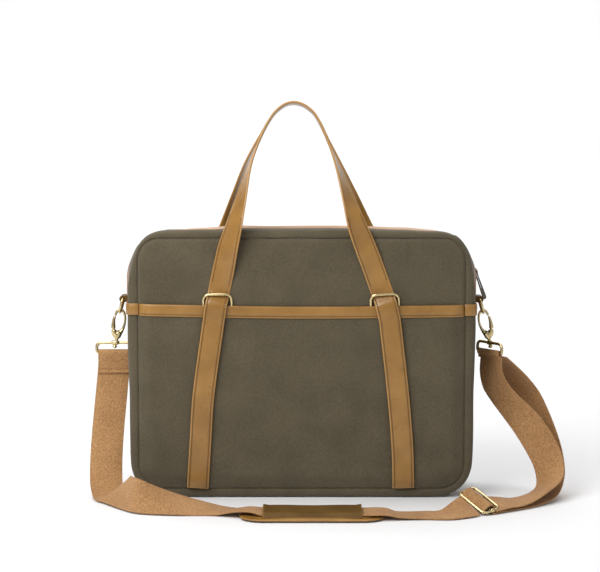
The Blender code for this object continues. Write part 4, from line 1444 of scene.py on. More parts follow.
@dataclass
class FrontPocket:
    """Patch pocket on the pocket side, and the leather band over its mouth."""

    shell: BagShell
    lift: float = 0.0048
    ramp: float = 0.0160
    band_height: float = 0.0138
    band_thick: float = 0.0013

    def band_top(self, x: float) -> float:
        """Return the height of the band's top edge, which sags a little between the sides."""
        share = (x / 0.2 + 1) / 2
        return 0.2278 - 0.0013 * share - 0.0024 * math.sin(math.pi * share) ** 1.5

    def depth(self, x: float, z: float, d: float) -> float:
        """Work out how far out the pocket's face lies.

        Args:
            x: the place's x.
            z: the place's z.
            d: the distance from the seam.

        Returns:
            The depth.
        """
        plump = 0.0024 * ease(d / 0.0030) + (self.lift - 0.0010) * ease(d / self.ramp)
        soft = 0.0004 * ripple(9.0, x * 11, z * 9) * ease(d / 0.03)
        pucker = 0.0003 * ripple(5.0, x * 110, z * 110) * (1 - ease((d - 0.001) / 0.006)) * ease(d / 0.001)
        return self.shell.half_depth - 0.0007 + plump + soft + pucker

    def cloth(self) -> None:
        """Make the pocket's cloth as a sheet of columns that hang from the band to the base seam."""
        shell, outline = self.shell, self.shell.outline
        inset = shell.seam_inset + 0.0002
        reach = outline.half - inset
        radius = outline.base_radius - inset
        columns, rows = 120, 56
        skin = Skin()
        for i in range(rows + 1):
            for k in range(columns + 1):
                bias = math.sin((k / columns - 0.5) * math.pi) * 0.5
                x = reach * 2 * (0.75 * bias + 0.25 * (k / columns - 0.5))
                over = max(0.0, abs(x) - (reach - radius))
                base = inset + radius - math.sqrt(max(radius ** 2 - over ** 2, 0.0))
                top = self.band_top(x) - 0.0030
                share = i / rows
                z = base + (top - base) * (0.35 * share ** 2 + 0.65 * share)
                side_gap = reach - abs(x)
                corner = Vector((over, max(0.0, inset + radius - z), 0.0)).length if over > 0 else 0.0
                round_gap = radius - corner if over > 0 and z < inset + radius else 1.0
                d = max(0.0, min(side_gap, z - inset, round_gap))
                skin.verts.append(Vector((x, -self.depth(x, z, d), z)))
        wide = columns + 1
        for i in range(rows):
            for k in range(columns):
                a = i * wide + k
                quad = (a, a + 1, a + wide + 1, a + wide)
                skin.face(quad, [(skin.verts[j].x, skin.verts[j].z) for j in quad])
        pocket = skin.solid("pocket_cloth", recalculate=False, sharp=80.0)
        shell.thicken(pocket, 0.0016)
        seat(pocket, CANVAS, "root", ["front_pocket"])

    def band_section(self) -> list[tuple[float, float, float]]:
        """Draw the band, whose top edge is rolled over.

        Returns:
            Its (outward, up, edge) points.
        """
        t, h = self.band_thick, self.band_height
        return [(0.0002, -h, 1.0), (t * 0.7, -h, 1.0), (t, -h + 0.0005, 0.3), (t, -h + 0.0016, 0.0),
                (t - 0.0003, -h + 0.0024, 0.0), (t, -h + 0.0032, 0.0), (t + 0.0003, -h * 0.60, 0.0),
                (t + 0.0003, -h * 0.40, 0.0), (t, -0.0036, 0.0), (t + 0.0003, -0.0022, 0.0),
                (t + 0.0002, -0.0010, 0.0),
                (t - 0.0004, -0.0002, 0.0), (-0.0002, 0.0001, 0.0), (-0.0012, -0.0004, 0.0),
                (-0.0019, -0.0016, 0.0), (-0.0020, -0.0040, 0.0), (-0.0004, -0.0046, 0.0)]

    def band(self) -> None:
        """Make the band over the pocket's mouth and its line of stitches."""
        reach = self.shell.outline.half - self.shell.seam_inset - 0.0004
        section = self.band_section()
        skin = Skin(numbers={"edge": []})
        rows, line = [], []
        count = 90
        for i in range(count + 1):
            x = reach * (2 * i / count - 1)
            z = self.band_top(x)
            y = self.depth(x, z - 0.007, reach - abs(x)) + 0.0002
            row = []
            for out, up, edge in section:
                row.append(Vector((x, -(y + out), z + up)))
                skin.numbers["edge"].append(edge)
            rows.append(row)
            line.append(Vector((x, -(y + self.band_thick + 0.0003), z - self.band_height + 0.0024)))
        skin.grid(rows, ring=True)
        band = skin.solid("mouth_band", sharp=70.0)
        seat(band, LEATHER, "root", ["pocket_band"])
        stitches = bead_lines("band_stitches", [line[1:-1]], Bead.STITCH, 0.0029, (0.0014, 0.0010, 0.0016),
                              THREAD)
        seat(stitches, THREAD, "root", [])

    def side_bands(self) -> None:
        """Make the band's ends, which wrap round the gusset from seam to seam."""
        half, deep, s = self.shell.outline.half, self.shell.half_depth, self.shell.seam_inset
        corner = [(half - s + 0.0002, deep - 0.0008), (half - s + 0.0009, deep + 0.0006),
                  (half - s + 0.0030, deep + 0.0014), (half - 0.0046, deep + 0.0013),
                  (half - 0.0028, deep + 0.0007),
                  (half - 0.0012, deep - 0.0006), (half - 0.0001, deep - 0.0024),
                  (half + 0.0005, deep - 0.0050),
                  (half + 0.0008, deep - 0.0090)]
        path = corner + [(half + 0.0008, y) for y in (0.024, 0.012, 0.0)]
        path = path + [(x, -y) for x, y in reversed(path[:-1])]
        height, thick = 0.0131, 0.0012
        section = [(0.0, -1.0, 1.0), (0.7, -1.0, 1.0), (1.0, -0.96, 0.2), (1.0, -0.5, 0.0), (1.0, -0.04, 0.0),
                   (0.7, 0.0, 1.0), (0.0, 0.0, 1.0), (0.0, -0.5, 0.0)]
        full = self.shell.swell(half, self.band_top(0.0) - height / 2)
        path = [(x + full * ease((x - half + s) / s), y) for x, y in path]
        for word, side in (("left", -1), ("right", 1)):
            top = self.band_top(side * 0.19) + 0.0002
            skin = Skin(numbers={"edge": []})
            rows = []
            for i, (x, y) in enumerate(path):
                before, after = path[max(i - 1, 0)], path[min(i + 1, len(path) - 1)]
                run = Vector((after[0] - before[0], after[1] - before[1])).normalized()
                out = Vector((-run.y, run.x))
                if out.dot(Vector((x - 0.15, y))) < 0:
                    out = -out
                row = []
                for o, up, edge in section:
                    raised = thick * o
                    row.append(Vector((side * (x + out.x * raised), y + out.y * raised, top + up * height)))
                    skin.numbers["edge"].append(edge)
                rows.append(row)
            skin.grid(rows, ring=True)
            seat(skin.solid("gusset_band_" + word, sharp=60.0), LEATHER, "root", ["side_band_" + word])

    def build(self) -> None:
        """Make every piece of the pocket."""
        self.cloth()
        self.band()
        self.side_bands()


# ---------------------------------------------------------------- straps and handles

@dataclass
class LeatherStraps:
    """The sewn straps, the handles that grow out of them, and the keeper rings round them."""

    width: float = 0.0252
    thick: float = 0.0025
    rear_spread: float = 1.08
    pivot_z: float = 0.2465
    fold_y: float = 0.0478
    thread_lift: float = 0.00150
    fronts: dict[str, list[tuple[float, float]]] = field(default_factory=lambda: {
        "left": [(-0.1208, 0.0125), (-0.1200, 0.0240), (-0.1174, 0.0624), (-0.1134, 0.1210),
                 (-0.1012, 0.2080), (-0.1004, 0.2135), (-0.0982, 0.2275), (-0.0960, 0.2360),
                 (-0.0948, 0.2418)],
        "right": [(0.1182, 0.0125), (0.1180, 0.0240), (0.1170, 0.0576), (0.1120, 0.1186),
                  (0.1017, 0.2080), (0.1005, 0.2135), (0.0972, 0.2275), (0.0945, 0.2360), (0.0922, 0.2418)],
    })
    front_y: tuple[float, ...] = (-0.0488, -0.0532, -0.0536, -0.0536, -0.0547,
                                  -0.0553, -0.0553, -0.0496, -0.0482)
    handle: tuple[Station, ...] = (
        (-0.0958, -0.0478, 0.2388, 0), (-0.0936, -0.0479, 0.2489, 0), (-0.0890, -0.0500, 0.2700, 8),
        (-0.0842, -0.0535, 0.2930, 22), (-0.0772, -0.0545, 0.3179, 41), (-0.0690, -0.0410, 0.3499, 62),
        (-0.0598, -0.0270, 0.3857, 82), (-0.0480, -0.0185, 0.4167, 90), (-0.0335, -0.0150, 0.4430, 94),
        (-0.0210, -0.0138, 0.4545, 96), (-0.0088, -0.0135, 0.4578, 97), (0.0040, -0.0138, 0.4540, 96),
        (0.0165, -0.0150, 0.4425, 94), (0.0308, -0.0185, 0.4130, 90), (0.0420, -0.0260, 0.3830, 80),
        (0.0531, -0.0410, 0.3499, 58), (0.0634, -0.0545, 0.3179, 31), (0.0733, -0.0535, 0.2930, 12),
        (0.0822, -0.0500, 0.2700, 4), (0.0899, -0.0479, 0.2489, 0), (0.0936, -0.0478, 0.2388, 0))

    def sew(self, name: str, band: Band, body: str, spans: Sequence[tuple[int, int]]) -> Piece:
        """Sew a line of stitches along each edge of a band.

        Args:
            name: the stitches' name.
            band: the band that is sewn.
            body: the body that it rides on, or nothing if it rides on none.
            spans: the first row and the row after the last one of each sewn stretch.

        Returns:
            The stitches.
        """
        place = 0.5 - 0.0026 / self.width
        lines = [band.line(side * place, self.thread_lift, *span) for side in (-1, 1) for span in spans]
        stitches = bead_lines(name, lines, Bead.STITCH, 0.0029, (0.0014, 0.0010, 0.0016), THREAD)
        return seat(stitches, THREAD, body, [])

    def lower_straps(self) -> None:
        """Make the four straps that are sewn up the bag's front and back."""
        profile = Profile.leather(self.width, self.thick)
        for word, points in self.fronts.items():
            stations = [(x, y, z, 0) for (x, z), y in zip(points, self.front_y)]
            front = Band("sewn_strap_front_" + word, rolled_edges(stations, self.width), profile)
            seat(front.build(), LEATHER, "root", ["front_strap_" + word])
            self.sew("strap_stitches_front_" + word, front, "root", [(2, -9)])
            rear = [(x * self.rear_spread, 0.0470, z, 0) for x, z in points]
            flipped = [(b, a) for a, b in rolled_edges(rear, self.width)]
            back = Band("sewn_strap_rear_" + word, flipped, profile)
            seat(back.build(), LEATHER, "root", ["rear_strap_" + word])
            self.sew("strap_stitches_rear_" + word, back, "root", [(2, -4)])

    def spread(self, z: float) -> float:
        """Work out how much wider apart the rear handle's legs stand at a height.

        Args:
            z: the height.

        Returns:
            The factor on x.
        """
        top = 0.4578
        opened = (self.rear_spread - 1.0) * min(1.0, (top - z) / 0.075)
        return 1.0 + opened + 0.02 * ease((top - z) / 0.08) * ease((z - 0.25) / 0.06)

    def handles(self) -> None:
        """Make both handles and sew their stitches."""
        profile = Profile.leather(self.width, self.thick)
        front = rolled_edges(self.handle, self.width)
        rear = []
        for pair in front:
            a, b = ((p.x * self.spread(p.z), -p.y, p.z) for p in pair)
            rear.append((b, a))
        for word, edges, side in (("front", front, -1), ("rear", rear, 1)):
            band = Band("strap_handle_" + word, edges, profile, steps=10, cupping=0.0006)
            pieces = [seat(band.build(), LEATHER, "", [word + "_handle"]),
                      self.sew("handle_stitches_" + word, band, "", [(12, 44), (-44, -12)])]
            for piece in pieces:
                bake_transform(piece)

    def keeper_rings(self) -> None:
        """Make the wire rings that the front straps pass through."""
        low, high = Vector((0.0, -0.0474, 0.2190)), Vector((0.0, -0.0526, 0.2390))
        up = (high - low).normalized()
        middle = (low + high) / 2
        for word, x, lean in (("left", -0.0968, 0.02), ("right", 0.0958, 0.06)):
            across = Vector((math.cos(lean), 0.0, math.sin(lean)))
            rise = (up - across * up.dot(across)).normalized()
            centre = Vector((x, middle.y, middle.z))
            half_high = (high - low).length / 2
            loop = rounded_loop(0.0160, half_high, (0.0068, 0.0068, 0.0040, 0.0040), 6)
            ring = Wire("square_ring_" + word, [centre + across * a + rise * b for a, b in loop], 0.0017,
                        closed=True, steps=2)
            seat(ring.build(), BRASS, "root", ["keeper_ring_" + word])
            dress_node("ring_anchor_" + word, DARK_LEATHER)

    def build(self) -> None:
        """Make every strap, handle and ring."""
        self.lower_straps()
        self.handles()
        self.keeper_rings()


# ---------------------------------------------------------------- side hardware

class End(Enum):
    """The bag's two ends."""

    LEFT = "left"
    RIGHT = "right"


@dataclass(frozen=True)
class Hanger:
    """Where one end's D-ring and snap hook hang, in the plane through the bag's middle."""

    end: End
    side: int
    bar: tuple[float, float]
    d_tilt: float
    tilt: float
    yaw: float
    slide: float

    def pivot(self) -> Vector:
        """Return the D-ring's straight bar, on which the hanger swings."""
        return Vector((self.side * self.bar[0], 0.0, self.bar[1]))

    def drop(self) -> Vector:
        """Return the direction in which the D-ring hangs."""
        turn = math.radians(self.d_tilt)
        return Vector((self.side * math.sin(turn), 0.0, -math.cos(turn)))

    def down(self) -> Vector:
        """Return the hook's downward direction."""
        turn = math.radians(self.tilt)
        return Vector((self.side * math.sin(turn), 0.0, -math.cos(turn)))

    def out(self) -> Vector:
        """Return the hook's outward direction."""
        turn = math.radians(self.tilt)
        return Vector((self.side * math.cos(turn), 0.0, math.sin(turn)))

    def top(self) -> Vector:
        """Return the top point of the hook's wire."""
        return self.pivot() + self.drop() * 0.0176 + Vector((0.0, 0.0, 0.0036)) - self.out() * 0.0004

    def across(self) -> Vector:
        """Return the direction of the base loop's long side."""
        turn = math.radians(self.yaw)
        return Vector((math.cos(turn), math.sin(turn), 0.0))

    def loop_centre(self) -> Vector:
        """Return the middle of the base loop."""
        return self.top() + self.down() * 0.0396 - Vector((0.0, 0.0, 0.0058)) + self.across() * self.slide


HANGERS = (Hanger(End.LEFT, -1, (0.2100, 0.2292), 14.0, 7.5, 0.0, -0.0012),
           Hanger(End.RIGHT, 1, (0.2098, 0.2285), 15.0, 12.5, -56.0, 0.0))


@dataclass
class SideHardware:
    """One end's leather tab, D-ring, snap hook, base loop and the webbing sewn round the loop."""

    hanger: Hanger
    d_half: float = 0.0122
    d_drop: float = 0.0176
    d_wire: float = 0.0016
    loop_half: tuple[float, float] = (0.0220, 0.0058)
    loop_wire: float = 0.0018
    web_width: float = 0.038
    web_thick: float = 0.0016
    frame_arm: tuple[Point, ...] = (
        (0.0050, 0.0072, 0.0013), (0.0039, 0.0035, 0.0015), (0.0020, 0.0008, 0.0016), (0.0, 0.0, 0.0016),
        (-0.0026, 0.0008, 0.0016), (-0.0052, 0.0040, 0.0015), (-0.0067, 0.0085, 0.0014),
        (-0.0072, 0.0130, 0.0013), (-0.0069, 0.0175, 0.0014), (-0.0058, 0.0220, 0.0017),
        (-0.0043, 0.0252, 0.0024), (-0.0020, 0.0282, 0.0038), (-0.0002, 0.0308, 0.0048),
        (0.0001, 0.0332, 0.0040),
        (0.0001, 0.0348, 0.0028), (0.0, 0.0362, 0.0017), (0.0, 0.0376, 0.0016))
    gate_arm: tuple[Point, ...] = (
        (0.0055, 0.0092, 0.0014), (0.0060, 0.0124, 0.0017), (0.0061, 0.0160, 0.0020),
        (0.0059, 0.0196, 0.0024), (0.0057, 0.0214, 0.0026), (0.0055, 0.0226, 0.0027))
    shoulder_arm: tuple[Point, ...] = (
        (0.0004, 0.0316, 0.0030), (0.0022, 0.0298, 0.0040), (0.0038, 0.0276, 0.0036),
        (0.0050, 0.0256, 0.0029))

    def tab(self) -> None:
        """Make the stitched leather tab that holds the D-ring's bar."""
        h = self.hanger
        bar = h.pivot()
        depth = bar.x * h.side - 0.2003
        outer = [(0.0041 * math.cos(t), 0.0041 * math.sin(t))
                 for t in (math.radians(a) for a in range(-90, 91, 15))]
        outer += [(-depth * 0.5, 0.0042), (-depth, 0.0040), (-depth, -0.0026), (-0.0045, -0.0034)]
        hole = [(0.0019 * math.cos(t), 0.0019 * math.sin(t))
                for t in (2 * math.pi * k / 16 for k in range(16))]
        tab = slab("leather_tab_" + h.end.value, outer,
                   lambda a, b, d: Vector((bar.x + h.side * a, d, bar.z + b)),
                   (-0.0098, 0.0098), 0.0006, hole)
        seat(tab, DARK_LEATHER, "root", ["side_tab_" + h.end.value])

    def ring(self) -> None:
        """Make the D-ring."""
        h = self.hanger
        points = [(-self.d_half + 0.0030, 0.0), (0.0, 0.0), (self.d_half - 0.0030, 0.0),
                  (self.d_half - 0.0009, 0.0008), (self.d_half, 0.0032)]
        low = self.d_drop - self.d_half
        points += [(self.d_half * math.cos(t), low + self.d_half * math.sin(t))
                   for t in (math.pi * k / 12 for k in range(13))]
        points += [(-self.d_half, 0.0032), (-self.d_half + 0.0009, 0.0008)]
        world = [h.pivot() + Vector((0.0, a, 0.0)) + h.drop() * b for a, b in points]
        ring = Wire("dee_" + h.end.value, world, self.d_wire, closed=True, steps=2)
        seat(ring.build(), BRASS, h.end.value + "_hanger", ["d_ring_" + h.end.value])

    def arm(self, name: str, stations: Sequence[Point], gap_shadow_span: tuple[float, float] = (2.0, 2.0)) -> Wire:
        """Draw one cast arm of the hook.

        Args:
            name: the arm's name.
            stations: its (out, down, radius) stations.
            gap_shadow_span: where its line of painted gap shadow starts and ends, as shares.

        Returns:
            The arm.
        """
        h = self.hanger
        points = [h.top() + h.out() * u + h.down() * v for u, v, r in stations]
        return Wire(name, points, [r for u, v, r in stations], flatten=1.15, deepest=0.0030, gap_shadow_span=gap_shadow_span)

    def hook(self) -> None:
        """Make the hook's frame and its sprung gate."""
        word = self.hanger.end.value
        # painted gap shadow on the casting where the gate's lower end meets the frame
        casting = self.arm("hook_casting_" + word, self.frame_arm, (0.635, 0.675))
        shoulder = self.arm("", self.shoulder_arm)
        seat(casting.build([shoulder]), BRASS, word + "_hook", ["hook_frame_" + word])
        seat(self.arm("hook_lever_" + word, self.gate_arm).build(), BRASS, word + "_gate",
             ["hook_gate_" + word])

    def base_loop(self) -> None:
        """Make the base loop with the swivel boss that the hook's post turns in."""
        h = self.hanger
        centre, across = h.loop_centre(), h.across()
        up = Vector((0.0, 0.0, 1.0))
        outline = rounded_loop(*self.loop_half, (0.0056, 0.0056, 0.0022, 0.0022), 5)
        loop = Wire("web_loop_" + h.end.value, [centre + across * a + up * b for a, b in outline],
                    self.loop_wire, closed=True, steps=2, sides=12)
        crown = centre + up * self.loop_half[1]
        shoulders = [crown + across * a for a in (-0.0085, -0.0050, -0.0022, 0.0022, 0.0050, 0.0085)]
        collar = Wire("", shoulders, [0.0014, 0.0018, 0.0029, 0.0029, 0.0018, 0.0014], steps=3, sides=12)
        down = h.down()
        knob = Wire("", [crown + down * s for s in (0.0012, 0.0030, 0.0044, 0.0054, 0.0060)],
                    [0.0020, 0.0016, 0.0027, 0.0027, 0.0016], steps=3, sides=12)
        seat(loop.build([collar, knob]), BRASS, h.end.value + "_hanger", ["base_loop_" + h.end.value])

    def web_end(self) -> None:
        """Make the webbing that is folded round the loop's lower bar, with its sewn edge."""
        h = self.hanger
        word = h.end.value
        across = h.across()
        foot = h.loop_centre() - Vector((0.0, 0.0, self.loop_half[1])) + across * h.slide
        face = across.cross(Vector((0.0, 0.0, 1.0)))
        radius = self.loop_wire + 0.0003 + self.web_thick / 2
        tail = 0.0228 if h.end is End.LEFT else 0.0072
        close = 0.00095
        path = [(-close, -tail), (-close, -tail * 0.72), (-close * 1.3, -tail * 0.45),
                (-radius * 0.9, -0.0022)]
        path += [(radius * math.cos(t), radius * math.sin(t))
                 for t in (math.pi * (1 - k / 8) for k in range(9))]
        path += [(-a, b) for a, b in reversed(path[:4])]
        half = across * (self.web_width / 2)
        edges = []
        for a, b in path:
            mid = foot + face * a + Vector((0.0, 0.0, b))
            edges.append((mid - half, mid + half))
        band = Band("web_fold_" + word, edges, Profile.webbing(self.web_thick), steps=4, wave=0.0002)
        seat(band.build(), WEBBING, word + "_hanger", ["strap_end_" + word])
        if h.end is End.LEFT:
            self.sewn_ridge(foot, across, face, tail)

    def sewn_ridge(self, foot: Vector, across: Vector, face: Vector, tail: float) -> None:
        """Make the rolled edge that closes the fold, and the stitches above it.

        Args:
            foot: the middle of the base loop's bar.
            across: the webbing's across direction.
            face: the direction that the webbing faces.
            tail: how far the fold hangs.
        """
        side = face if face.y < 0 else -face
        z = Vector((0.0, 0.0, 1.0))
        edges = []
        reach = self.web_width / 2 + 0.0003
        for lift, drop in ((0.0012, tail - 0.0022), (0.0024, tail - 0.0012), (0.0030, tail + 0.0002),
                           (0.0026, tail + 0.0014), (0.0010, tail + 0.0020)):
            mid = foot + side * lift - z * drop
            edges.append((mid - across * reach, mid + across * reach))
        ridge = Band("web_fold_ridge", edges, Profile.webbing(0.0011), steps=4, wave=0.0002)
        seat(ridge.build(), WEBBING, "left_hanger", [])
        line = [foot + side * 0.0024 - z * (tail - 0.0034) + across * (self.web_width * (k / 12 - 0.5) * 0.94)
                for k in range(13)]
        stitches = bead_lines("web_fold_stitches", [line], Bead.STITCH, 0.0034,
                              (0.0022, 0.0006, 0.0009), THREAD)
        seat(stitches, THREAD, "left_hanger", [])

    def build(self) -> None:
        """Make every piece of this end's hardware."""
        self.tab()
        self.ring()
        self.hook()
        self.base_loop()
        self.web_end()


# ---------------------------------------------------------------- shoulder strap

@dataclass
class ShoulderStrap:
    """The webbing as it lies round the bag, with its slide adjuster and shoulder pad."""

    width: float = 0.038
    thick: float = 0.0016
    left_run: tuple[tuple[Point, Point], ...] = (
        ((-0.2406, -0.0002, 0.1530), (-0.2028, -0.0002, 0.1530)),
        ((-0.2418, -0.0005, 0.1382), (-0.2042, -0.0005, 0.1382)),
        ((-0.2443, -0.0050, 0.1100), (-0.2065, -0.0050, 0.1100)),
        ((-0.2471, -0.0140, 0.0750), (-0.2093, -0.0140, 0.0750)),
        ((-0.2485, -0.0260, 0.0400), (-0.2108, -0.0230, 0.0400)),
        ((-0.2470, -0.0420, 0.0160), (-0.2100, -0.0330, 0.0140)),
        ((-0.2415, -0.0600, 0.0035), (-0.2080, -0.0450, 0.0050)),
        ((-0.2360, -0.0700, 0.0020), (-0.2020, -0.0620, 0.0150)),
        ((-0.2290, -0.0780, 0.0020), (-0.1960, -0.0780, 0.0310)),
        ((-0.2080, -0.1060, 0.0016), (-0.1930, -0.0960, 0.0360)),
        ((-0.1853, -0.1300, 0.0016), (-0.1800, -0.1200, 0.0370)),
        ((-0.1450, -0.1390, 0.0014), (-0.1470, -0.1060, 0.0200)),
        ((-0.0998, -0.1400, 0.0014), (-0.1020, -0.1030, 0.0060)),
        ((-0.0740, -0.1500, 0.0072), (-0.0750, -0.1130, 0.0030)),
        ((-0.0560, -0.1600, 0.0092), (-0.0570, -0.1230, 0.0068)),
        ((-0.0400, -0.1635, 0.0060), (-0.0400, -0.1260, 0.0060)),
        ((0.0640, -0.1640, 0.0060), (0.0640, -0.1265, 0.0060)),
        ((0.0860, -0.1640, 0.0070), (0.0860, -0.1265, 0.0066)),
        ((0.0950, -0.1632, 0.0064), (0.0950, -0.1258, 0.0060)),
        ((0.1070, -0.1615, 0.0036), (0.1070, -0.1245, 0.0018)),
        ((0.1373, -0.1590, 0.0014), (0.1390, -0.1215, 0.0014)),
        ((0.1660, -0.1600, 0.0014), (0.1560, -0.1235, 0.0030)),
        ((0.1840, -0.1520, 0.0016), (0.1690, -0.1190, 0.0110)),
        ((0.1985, -0.1420, 0.0018), (0.1790, -0.1105, 0.0158)))
    front_strand: tuple[tuple[Point, Point], ...] = (
        ((0.2136, 0.0135, 0.1600), (0.2350, -0.0180, 0.1600)),
        ((0.2125, 0.0100, 0.1400), (0.2360, -0.0190, 0.1440)),
        ((0.2160, 0.0060, 0.1220), (0.2425, -0.0200, 0.1300)),
        ((0.2250, 0.0010, 0.1070), (0.2520, -0.0220, 0.1190)),
        ((0.2376, -0.0060, 0.0900), (0.2660, -0.0240, 0.1060)),
        ((0.2513, -0.0130, 0.0710), (0.2800, -0.0260, 0.0915)),
        ((0.2642, -0.0200, 0.0500), (0.2960, -0.0300, 0.0685)),
        ((0.2733, -0.0280, 0.0310), (0.3050, -0.0400, 0.0460)),
        ((0.2745, -0.0400, 0.0140), (0.3020, -0.0590, 0.0260)),
        ((0.2640, -0.0540, 0.0070), (0.2800, -0.0850, 0.0140)),
        ((0.2420, -0.0720, 0.0052), (0.2560, -0.1060, 0.0058)),
        ((0.2215, -0.0880, 0.0100), (0.2330, -0.1220, 0.0050)),
        ((0.2060, -0.0975, 0.0130), (0.2175, -0.1330, 0.0036)))
    rear_strand: tuple[tuple[Point, Point], ...] = (
        ((0.2215, 0.0205, 0.1600), (0.2420, -0.0110, 0.1600)),
        ((0.2330, 0.0260, 0.1430), (0.2560, -0.0030, 0.1470)),
        ((0.2440, 0.0290, 0.1250), (0.2690, 0.0010, 0.1340)),
        ((0.2560, 0.0290, 0.1040), (0.2830, 0.0040, 0.1160)),
        ((0.2680, 0.0250, 0.0810), (0.2930, 0.0000, 0.0950)),
        ((0.2760, 0.0170, 0.0580), (0.3020, -0.0080, 0.0710)),
        ((0.2820, 0.0060, 0.0360), (0.3080, -0.0180, 0.0480)),
        ((0.2840, -0.0090, 0.0150), (0.3080, -0.0360, 0.0250)),
        ((0.2740, -0.0370, 0.0030), (0.2950, -0.0670, 0.0070)),
        ((0.2520, -0.0600, 0.0014), (0.2700, -0.0930, 0.0016)),
        ((0.2290, -0.0790, 0.0014), (0.2430, -0.1130, 0.0014)),
        ((0.2140, -0.0900, 0.0050), (0.2270, -0.1240, 0.0016)),
        ((0.2020, -0.0990, 0.0096), (0.2140, -0.1345, 0.0012)))
    adjuster_centre: Point = (0.1995, -0.1170, 0.0128)
    adjuster_long: Point = (-0.600, 0.700, 0.390)
    adjuster_run: Point = (0.820, 0.560, 0.130)
    adjuster_half: tuple[float, float] = (0.0215, 0.0118)
    pad_centre: tuple[float, float] = (0.0119, -0.1450)
    pad_size: tuple[float, float] = (0.161, 0.054)
    pad_heights: tuple[float, float] = (0.0004, 0.0046)
    pad_grow: float = 0.0012
    stitch_inset: float = -0.0030

    def web(self, name: str, edges: Sequence[tuple[Point, Point]], wave: float = 0.0005) -> Band:
        """Return a stretch of webbing along pairs of edge points."""
        return Band(name, edges, Profile.webbing(self.thick), steps=10, wave=wave)

    def stretches(self) -> None:
        """Make the three stretches of webbing.
        """
        table = (
            ("webbing_left_run", self.left_run, "left_hanger", "strap_run_left", (0.070, 0.138), "fitting"),
            ("webbing_loop_front", self.front_strand, "right_hanger", "strap_strand_front",
             (0.085, 0.150), "object"),
            ("webbing_loop_rear", self.rear_strand, "right_hanger", "strap_strand_rear",
             (0.085, 0.150), "object"))
        for name, edges, body, node, (low, high), far_end in table:
            band = self.web(name, edges)
            piece = seat(band.build(), WEBBING, "", [node])
            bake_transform(piece)

    def adjuster_frame(self) -> tuple[Vector, Vector, Vector, Vector]:
        """Work out how the adjuster lies.

        Returns:
            Its centre, long direction, the webbing's run and the outward normal.
        """
        centre = Vector(self.adjuster_centre)
        along = Vector(self.adjuster_long).normalized()
        run = Vector(self.adjuster_run)
        run = (run - along * run.dot(along)).normalized()
        normal = along.cross(run)
        if normal.y > 0:
            normal = -normal
        return centre, along, run, normal

    def adjuster(self) -> list[Piece]:
        """Make the slide adjuster, its bar, the webbing over the bar and the small collar.

        Returns:
            The pieces.
        """
        centre, along, run, normal = self.adjuster_frame()
        half_a, half_b = self.adjuster_half
        outline = rounded_loop(half_a, half_b, (0.0050,) * 4, 6)
        loop = Wire("adjuster_loop", [centre + along * a + run * b for a, b in outline], 0.0016, closed=True,
                    steps=2, sides=12, flatten=0.85)
        frame_piece = seat(loop.build(), BRASS, "root", ["slide_adjuster"])
        reach = half_a - 0.0012
        bar = Wire("adjuster_crossbar", [centre - along * reach, centre, centre + along * reach], 0.0013)
        bar_piece = seat(bar.build(), BRASS, "root", ["adjuster_bar"])
        edges = []
        for b, lift in ((-0.0108, -0.0034), (-0.0100, -0.0006), (-0.0078, 0.0026), (-0.0040, 0.0048),
                       (0.0, 0.0052),
                        (0.0034, 0.0040), (0.0058, 0.0010), (0.0066, -0.0030)):
            mid = centre + run * b + normal * lift
            edges.append((mid - along * 0.0190, mid + along * 0.0182))
        hump = self.web("webbing_over_bar", edges, wave=0.0004)
        hump_piece = seat(hump.build(), WEBBING, "root", [])
        corner = centre - along * half_a + run * 0.0012
        collar = Wire("adjuster_collar", [corner - run * 0.0017, corner + run * 0.0017], 0.0026, sides=12)
        collar_piece = seat(collar.build(), BRASS, "root", [])
        return [frame_piece, bar_piece, hump_piece, collar_piece]

    def pad_outline(self, grow: float) -> list[tuple[float, float]]:
        """Return the pad's round-ended outline, grown or shrunk by a distance."""
        a, b = self.pad_size[0] / 2 + grow, self.pad_size[1] / 2 + grow
        return rounded_loop(a, b, (b - 0.003,) * 4, 12)

    def pad(self) -> list[Piece]:
        """Make the padded leather base and the darker sleeve that the webbing runs through.

        Returns:
            The pieces.
        """
        x, y = self.pad_centre
        low, high = self.pad_heights
        base = slab("pad_base", [(x + a, y + b) for a, b in self.pad_outline(self.pad_grow)],
                    lambda a, b, d: Vector((a, b, d)), (low + 0.0008, high - 0.0008), 0.0)
        inflate(base, voxel=0.0024, pressure=1.6, cap=0.0016, frames=12)
        clip_box(base, Vector((-1.0, -1.0, low)), Vector((1.0, 1.0, high + 0.0002)))
        seat(base, LEATHER, "root", ["shoulder_pad"])
        sleeve = self.sleeve()
        rim = [Vector((x + a, y + b, high - 0.0004)) for a, b in self.pad_outline(self.stitch_inset)]
        stitches = bead_lines("pad_stitches", [[*rim, rim[0]]], Bead.STITCH, 0.0030, (0.0007, 0.0005, 0.0021),
                              THREAD)
        seat(stitches, THREAD, "root", [])
        return [base, sleeve, stitches]

